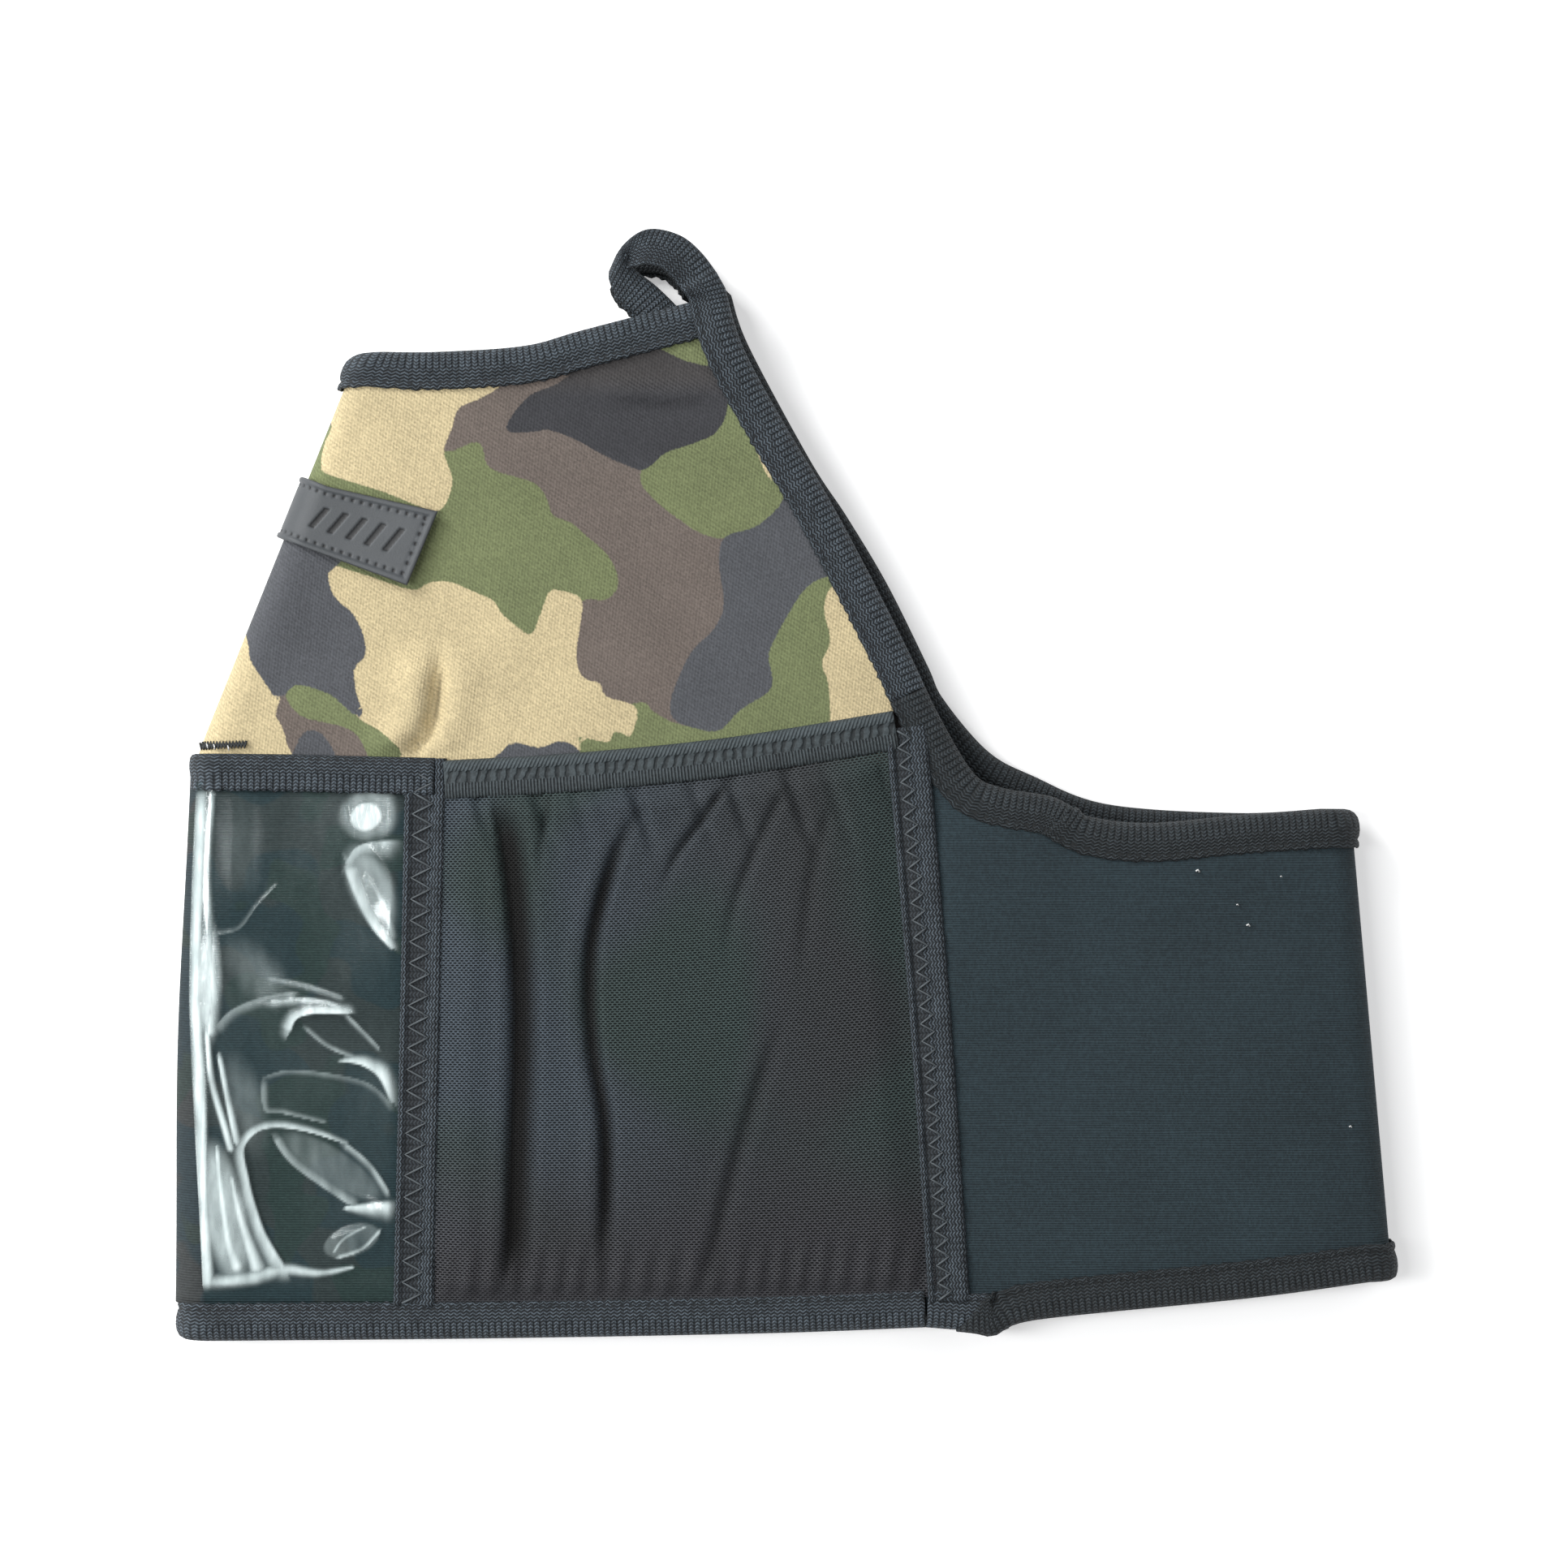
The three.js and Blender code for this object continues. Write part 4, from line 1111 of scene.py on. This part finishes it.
for kind, (edge, section, channel, period) in TAPES.items():
    finish = knitted_tape(f"{kind}_knit", TAPE_SHADE, TAPE_THREAD, channel)
    line = smooth_line(edge)
    across_way = -left_of(line)
    for side, word in ((1, "near"), (-1, "far")):
        piece = band(f"{kind}_{word}", flat_run(line, side, -1), finish, section, seed=11, ragged=0.1)
        stitches = round(2 * lengths(line)[-1] / period)
        share = np.linspace(0.005, 0.995, 3 * stitches + 1)
        swing = np.abs((np.arange(len(share)) / 3 + 1) % 2 - 1)
        depth = channel[0] + 0.1 + swing * (channel[1] - channel[0] - 0.2)
        rise = 7.62 + 0.18 * np.sin(math.pi * swing) - (0.25 if side < 0 else 0)
        flat = walk(line, share) + walk(across_way, share) * depth[:, None]
        thread = cord(f"{kind}_zigzag_{word}", np.column_stack([flat, side * rise]), 0.27, zigzag_thread)
        for part in (piece, thread):
            if kind == "window_tape":
                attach(part, f"{word}_front")
            elif side > 0:
                bend_near_seam(part)
            else:
                bend_far_seam(part)
        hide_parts(f"{kind}_{word}")

# ---- Mesh pockets -----------------------------------------------------------------------------
# Stretch net gathered into a pocket on each face: bulging, with long folds down from the mouth and
# short puckers along its top and foot. The one underneath lies flatter.

NET_TOP = [(-81.5, -1.0), (-50.8, -0.2), (-17.4, 2.4), (24.5, 9.0)]
NET_FLOOR = [(-85.0, -121.0), (-5.0, -120.4), (35.0, -119.4)]
NET_LEVEL, NET_THICK, NET_BULGE = 7.2, 0.4, 2.5
# course from the top; how sharp to its left and right; floor width; depth; share that is full depth
FOLDS = [
    ([(-69.8, -2.6), (-67.4, -14.0), (-65.6, -29.0), (-64.6, -46.0), (-64.6, -63.0), (-65.4, -90.0),
      (-66.5, -117.0)], 0.7, 5.5, 2.6, 2.7, (0.1, 0.9)),
    ([(-34.7, -3.5), (-41.5, -16.0), (-46.6, -34.1), (-47.6, -48.0), (-46.6, -63.0), (-43.8, -82.2),
      (-44.3, -117.0)], 0.8, 3.2, 1.3, 2.5, (0.2, 0.8)),
    ([(-15.5, 0.1), (-20.6, -7.4), (-26.7, -16.0), (-31.0, -26.0)], 0.9, 2.6, 0.6, 1.4, (0.1, 0.4)),
    ([(-1.6, 0.1), (-9.0, -16.0), (-14.0, -30.0), (-16.0, -44.0)], 1.2, 3.5, 0.4, 0.9, (0.1, 0.4)),
    ([(-1.6, -51.6), (-8.0, -70.0), (-14.0, -90.0), (-20.4, -117.0)], 1.6, 4.5, 0.5, 1.1, (0.3, 0.9)),
    ([(-56.0, -1.5), (-58.0, -12.0), (-59.0, -24.0)], 0.8, 2.0, 0.4, 0.9, (0.1, 0.3)),
    ([(9.0, -4.0), (4.0, -24.0), (2.0, -50.0)], 1.4, 4.0, 0.4, 0.6, (0.1, 0.5)),
]


def net_relief(x, y, across, up):
    """The net's height over its edges, and how much painted shade darkens its folds"""
    edge = ease(across, 0, 0.09) * ease(1 - across, 0, 0.09) * ease(up, 0, 0.05) * ease(1 - up, 0, 0.05)
    height = NET_BULGE * edge * (0.85 + 0.3 * waviness(x, y, 21, 19.0))
    fold_shade = 0 * x
    for course, left, right, floor_width, depth, full in FOLDS:
        line = smooth_line(course)
        beside = x - np.interp(y, line[::-1, 1], line[::-1, 0])
        share = (course[0][1] - y) / (course[0][1] - course[-1][1])
        strength = ease(share, -0.02, full[0]) * (1 - ease(share, full[1], 1.03))
        walls = ease(beside, -left, left) * (1 - ease(beside, floor_width, floor_width + right))
        height = height - strength * walls * depth + 0.5 * strength * hump(beside + 2.4, 1.8) * depth / 2.7
        # Painted shade: how much the net's colour is darkened in each fold.
        fold_shade = np.maximum(fold_shade, strength * walls * depth / 2.7)
    drop = (1 - up) * 122
    lean = x + 0.35 * y
    puckers = np.clip(np.sin(lean * 0.52 + 1.5) + 0.8 * np.sin(lean * 0.83 + 0.4), 0, 2)
    under_mouth = ease(-y, -8, 1) * (1 - ease(-y, 5, 19)) * ease(across, 0.02, 0.06)
    height = height - 0.75 * puckers ** 1.5 * under_mouth
    foot = ease(up, 0.005, 0.03) * (1 - ease(up, 0.06, 0.14))
    height = height + 0.32 * foot * np.sin((x + 0.12 * drop) * (2 * math.pi / 5.2) + 0.8 * np.sin(x / 9))
    return np.maximum(height, -0.3), fold_shade


def net():
    """Fine net: rows of lens-shaped holes, every other row shifted by half a hole"""
    finish = Finish("stretch_net")
    x, y, fold_shade = finish.parts(finish.named("weave", "Vector"))
    row = y / 0.56
    odd = finish.math("FLOOR", finish.math("MODULO", row + 4000.0, 2.0))
    u = finish.math("FRACT", x / 1.12 + odd * 0.5 + 400.0) - 0.5
    v = finish.math("FRACT", row + 4000.0) - 0.5
    far_out = (u * 2.3) ** 2.0 + (v * 2.5) ** 2.0
    solid = finish.clear_step(far_out, 0.55, 0.95)
    grain = finish.speckle(finish.vector(x / 0.33, y / 0.25))
    cloudy = finish.noise(finish.vector(x, y * 0.5), 0.03)
    green = finish.noise(finish.vector(x + 40, y), 0.022, 0.0)
    # Painted light: the net is coloured lighter and bluer to the left, where it is lit, and greyer and darker
    # towards its foot.
    colour = finish.mixed(finish.clear_step(x, 20.0, 95.0), (0.056, 0.074, 0.092), (0.041, 0.046, 0.050))
    colour = finish.mixed(finish.clear_step(green, 0.42, 0.62), colour, (0.037, 0.058, 0.056))
    colour = finish.mixed(1 - finish.clear_step(y, 5.0, 50.0), colour, (0.044, 0.045, 0.051))
    # Painted shade: the net is coloured darker in its folds.
    shade = (0.62 + grain * 0.45 + cloudy * 0.3) * (1 - fold_shade * 0.97)
    bump = finish.node("ShaderNodeBump", (), {"Height": solid, "Distance": 0.00012, "Strength": 1.0})
    holes = 1 - (1 - solid) * 0.9
    sockets = {"Base Color": finish.lit(colour, shade), "Roughness": 0.8, "Normal": bump, "Alpha": holes}
    finish.node_out(finish.node("ShaderNodeBsdfPrincipled", (), sockets))
    return finish.material


net_finish = net()
net_edges = {
    "top": smooth_line(NET_TOP), "bottom": smooth_line(NET_FLOOR),
    "left": np.array([NET_FLOOR[0], NET_TOP[0]]), "right": np.array([NET_FLOOR[-1], NET_TOP[-1]]),
}
for side, word in ((1, "near"), (-1, "far")):
    def lay_net(across, up):
        place = patch(**net_edges)(across, up)
        rise, fold_shade = net_relief(place[:, 0], place[:, 1], across, up)
        level = NET_LEVEL + (rise if side > 0 else 0.14 * rise)
        weave = np.stack([across * 112, up * 122, fold_shade if side > 0 else fold_shade * 0], 1)
        return np.column_stack([place, side * level]), weave

    pocket = cloth(f"mesh_pocket_{word}", 150 if side > 0 else 70, 150 if side > 0 else 70, lay_net)
    pocket.data.materials.append(net_finish)
    thicken(pocket, NET_THICK)
    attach(pocket, f"{word}_front")
    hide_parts(f"mesh_pocket_{word}")

# ---- Pocket elastics --------------------------------------------------------------------------
# The mouth of each mesh pocket: elastic tape rolled over the net, with a row of blanket stitches
# and a ribbed lower edge.

ELASTIC_SECTION = [(0.2, 6.5), (0.0, 7.1), (0.25, 7.9), (0.9, 8.45), (1.8, 8.6), (2.7, 8.3), (3.2, 7.95),
                   (4.0, 8.05), (4.9, 8.05), (5.4, 7.85), (6.1, 8.1), (7.2, 8.1), (8.3, 7.9), (8.9, 7.6),
                   (9.1, 7.2)]
ELASTIC_EDGE = [(-80.5, 6.0), (-50.8, 7.7), (-14.5, 11.3), (24.5, 17.6)]


def elastic_knit():
    finish = Finish("elastic_knit")
    along, across, _ = finish.parts(finish.named("weave", "Vector"))
    roll = 1 - finish.clear_step(across, 4.0, 4.5)
    lower = finish.clear_step(across, 6.9, 7.3)
    fine = finish.math("SINE", (along + across * 0.5) * (2 * math.pi / 0.9))
    ribs = finish.math("SINE", along * (2 * math.pi / 0.76))
    uneven = finish.noise(finish.vector(along, across), 0.35) * 0.9
    beat = finish.math("FRACT", along / 2.3 + across * 0.12 + uneven)
    gaps = finish.clear_step(beat, 0.35, 0.6) * (1 - finish.clear_step(beat, 0.75, 0.95)) * 0.75
    gaps = gaps * (1 - roll) * (1 - lower)
    grain = finish.speckle(finish.vector(along / 0.5, across / 0.4))
    worn = finish.noise(finish.vector(along, across), 0.1)
    thread = 0.42 + roll * (fine * 0.16 + 0.10) + lower * (ribs * 0.32 - 0.05)
    thread = thread + grain * 0.30 + (worn - 0.5) * 0.5
    colour = finish.mixed(thread * (1 - gaps * 0.85), (0.007, 0.009, 0.010), (0.085, 0.108, 0.118))
    return finish.coated(colour, roll * fine * 0.4 + lower * ribs * 0.8 - gaps * 1.6 + grain * 0.5, 0.3, 0.8)


elastic_finish = elastic_knit()
mouth = smooth_line(ELASTIC_EDGE)
for side, word in ((1, "near"), (-1, "far")):
    section = [(d, level if side > 0 else level - 0.9) for d, level in ELASTIC_SECTION]
    elastic = band(f"pocket_elastic_{word}", flat_run(mouth, side, -1), elastic_finish, section, seed=12)
    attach(elastic, f"{word}_front")
    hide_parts(f"pocket_elastic_{word}")

# ---- Label ------------------------------------------------------------------------------------
# A moulded rubber label sewn over the front crease, with a raised rim, a stitching groove inside
# it and a row of plain slanted bars as a generic mark.

LABEL_CREASE = [(-113.1, 55.8), (-107.4, 70.0)]
LABEL_END = [(-88.8, 46.8), (-81.6, 64.1)]
LABEL_OUT = np.array((-0.928, 0.372))
LABEL_LEVEL, LABEL_THICK = 7.8, 1.2
LABEL_LENGTH, LABEL_HEIGHT = 26.4, 16.6  # of each flat part
LABEL_TOTAL = 2 * LABEL_LENGTH + math.pi * LABEL_LEVEL


def label_relief(along, height):
    """How far the label's face stands over or under its plain level"""
    ends = np.minimum(along, LABEL_TOTAL - along)
    rim = np.minimum(np.minimum(height, LABEL_HEIGHT - height), ends)
    raised = 0.35 * (1 - ease(rim, 1.1, 1.4)) - 0.25 * (1 - ease(rim, 0, 0.35))
    groove = -0.4 * hump(rim - 2.0, 0.42)
    run = np.where(np.minimum(height, LABEL_HEIGHT - height) < 2.6, along, height)
    beat = (run / 2.2) % 1
    thread = 0.42 * hump(rim - 2.0, 0.34) * ease(beat, 0.1, 0.25) * (1 - ease(beat, 0.75, 0.9))
    slanted = along + 0.35 * (height - LABEL_HEIGHT / 2)
    bar = np.abs((slanted - 4.9) % 4.6 - 2.3)
    mark = ease(1.3 - bar, 0.4, 0.75) * ease(height, 5.2, 5.6) * (1 - ease(height, 11.0, 11.4))
    mark = mark * ease(slanted, 4.9, 5.0) * (1 - ease(slanted, 27.8, 27.9))
    return raised + groove + thread - 0.38 * mark


def lay_label(across, up):
    along, height = across * LABEL_TOTAL, up * LABEL_HEIGHT
    arc = np.clip((along - LABEL_LENGTH) / LABEL_LEVEL, 0, math.pi)
    out = np.maximum(LABEL_LENGTH - along, 0) + np.maximum(along - LABEL_TOTAL + LABEL_LENGTH, 0)
    crease, end = walk(np.array(LABEL_CREASE), up), walk(np.array(LABEL_END), up)
    share = (out / LABEL_LENGTH)[:, None]
    flat = crease * (1 - share) + end * share
    radius = LABEL_LEVEL + label_relief(along, height)
    lifted = 0.9 * ease(share[:, 0], 0.3, 1.0) * (along < LABEL_LENGTH)
    place = flat + LABEL_OUT * (radius * np.sin(arc))[:, None]
    return np.column_stack([place, radius * np.cos(arc) + lifted]), np.stack([along, height, radius], 1)


def rubber():
    finish = Finish("label_rubber")
    weave = finish.named("weave", "Vector")
    painted_recess_shade = 1 - finish.clear_step(finish.parts(weave)[2], LABEL_LEVEL - 0.35, LABEL_LEVEL - 0.05)
    grain = finish.noise(weave, 3.0, 3.0)
    smudge = finish.noise(weave, 0.12)
    colour = finish.mixed(grain * 0.6 + smudge * 0.5, (0.046, 0.052, 0.056), (0.075, 0.082, 0.089))
    # Painted shade: the sunk groove and bars are coloured near black.
    colour = finish.mixed(painted_recess_shade, colour, (0.012, 0.013, 0.014))
    return finish.coated(colour, grain, 0.05, 0.55)


label = cloth("label", 250, 56, lay_label)
label.data.materials.append(rubber())
thicken(label, LABEL_THICK)
fold_front(label)
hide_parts("label_near", "label_far")

# ---- Loose threads and lint -------------------------------------------------------------------
# The overlocked edge that peeps out over the window binding, three ends of white thread in it, and
# specks of white lint on the plain back.

overlock_thread = plain_thread("overlock_thread", (0.02, 0.024, 0.026))


FOLD_START, FOLD_WIDTH = -131.8, 6.6


def on_fold(x, level):
    """A level as it falls away round the front crease"""
    return level * np.sqrt(1 - np.clip((FOLD_START - x) / FOLD_WIDTH, 0, 0.9) ** 2)


share = np.linspace(0, 1, 61)
x = -138.2 + 11.6 * share
loops = np.column_stack([x, 8.6 + 1.6 * np.abs((share * 30) % 2 - 1) + 0.4 * share, on_fold(x, 7.2)])
overlock = cord("overlock_edge", loops, 0.3, overlock_thread)
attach(overlock, "near_front")
white_thread = plain_thread("white_thread", (0.75, 0.76, 0.75))
for k, (x, y) in enumerate(((-136.2, 9.9), (-134.3, 9.7), (-130.9, 9.4))):
    end = [(x, y, on_fold(x, 7.4)), (x + 0.25, y - 0.4, on_fold(x, 8.0)), (x + 0.3, y - 1.0, on_fold(x, 7.7))]
    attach(cord(f"white_thread_{k}", smooth_line(end, steps=4), 0.17, white_thread), "near_front")
LINT = [(95.9, -19.9, 0.42), (105.2, -27.8, 0.25), (107.7, -32.6, 0.38), (131.6, -79.7, 0.3),
        (115.4, -21.2, 0.22)]
for k, (x, y, size) in enumerate(LINT):
    speck = np.array([(x - size, y, 7.2), (x, y + size * 0.8, 7.35), (x + size, y - size * 0.5, 7.2)])
    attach(cord(f"lint_{k}", speck, 0.6 * size, white_thread, sides=5), "near_back")
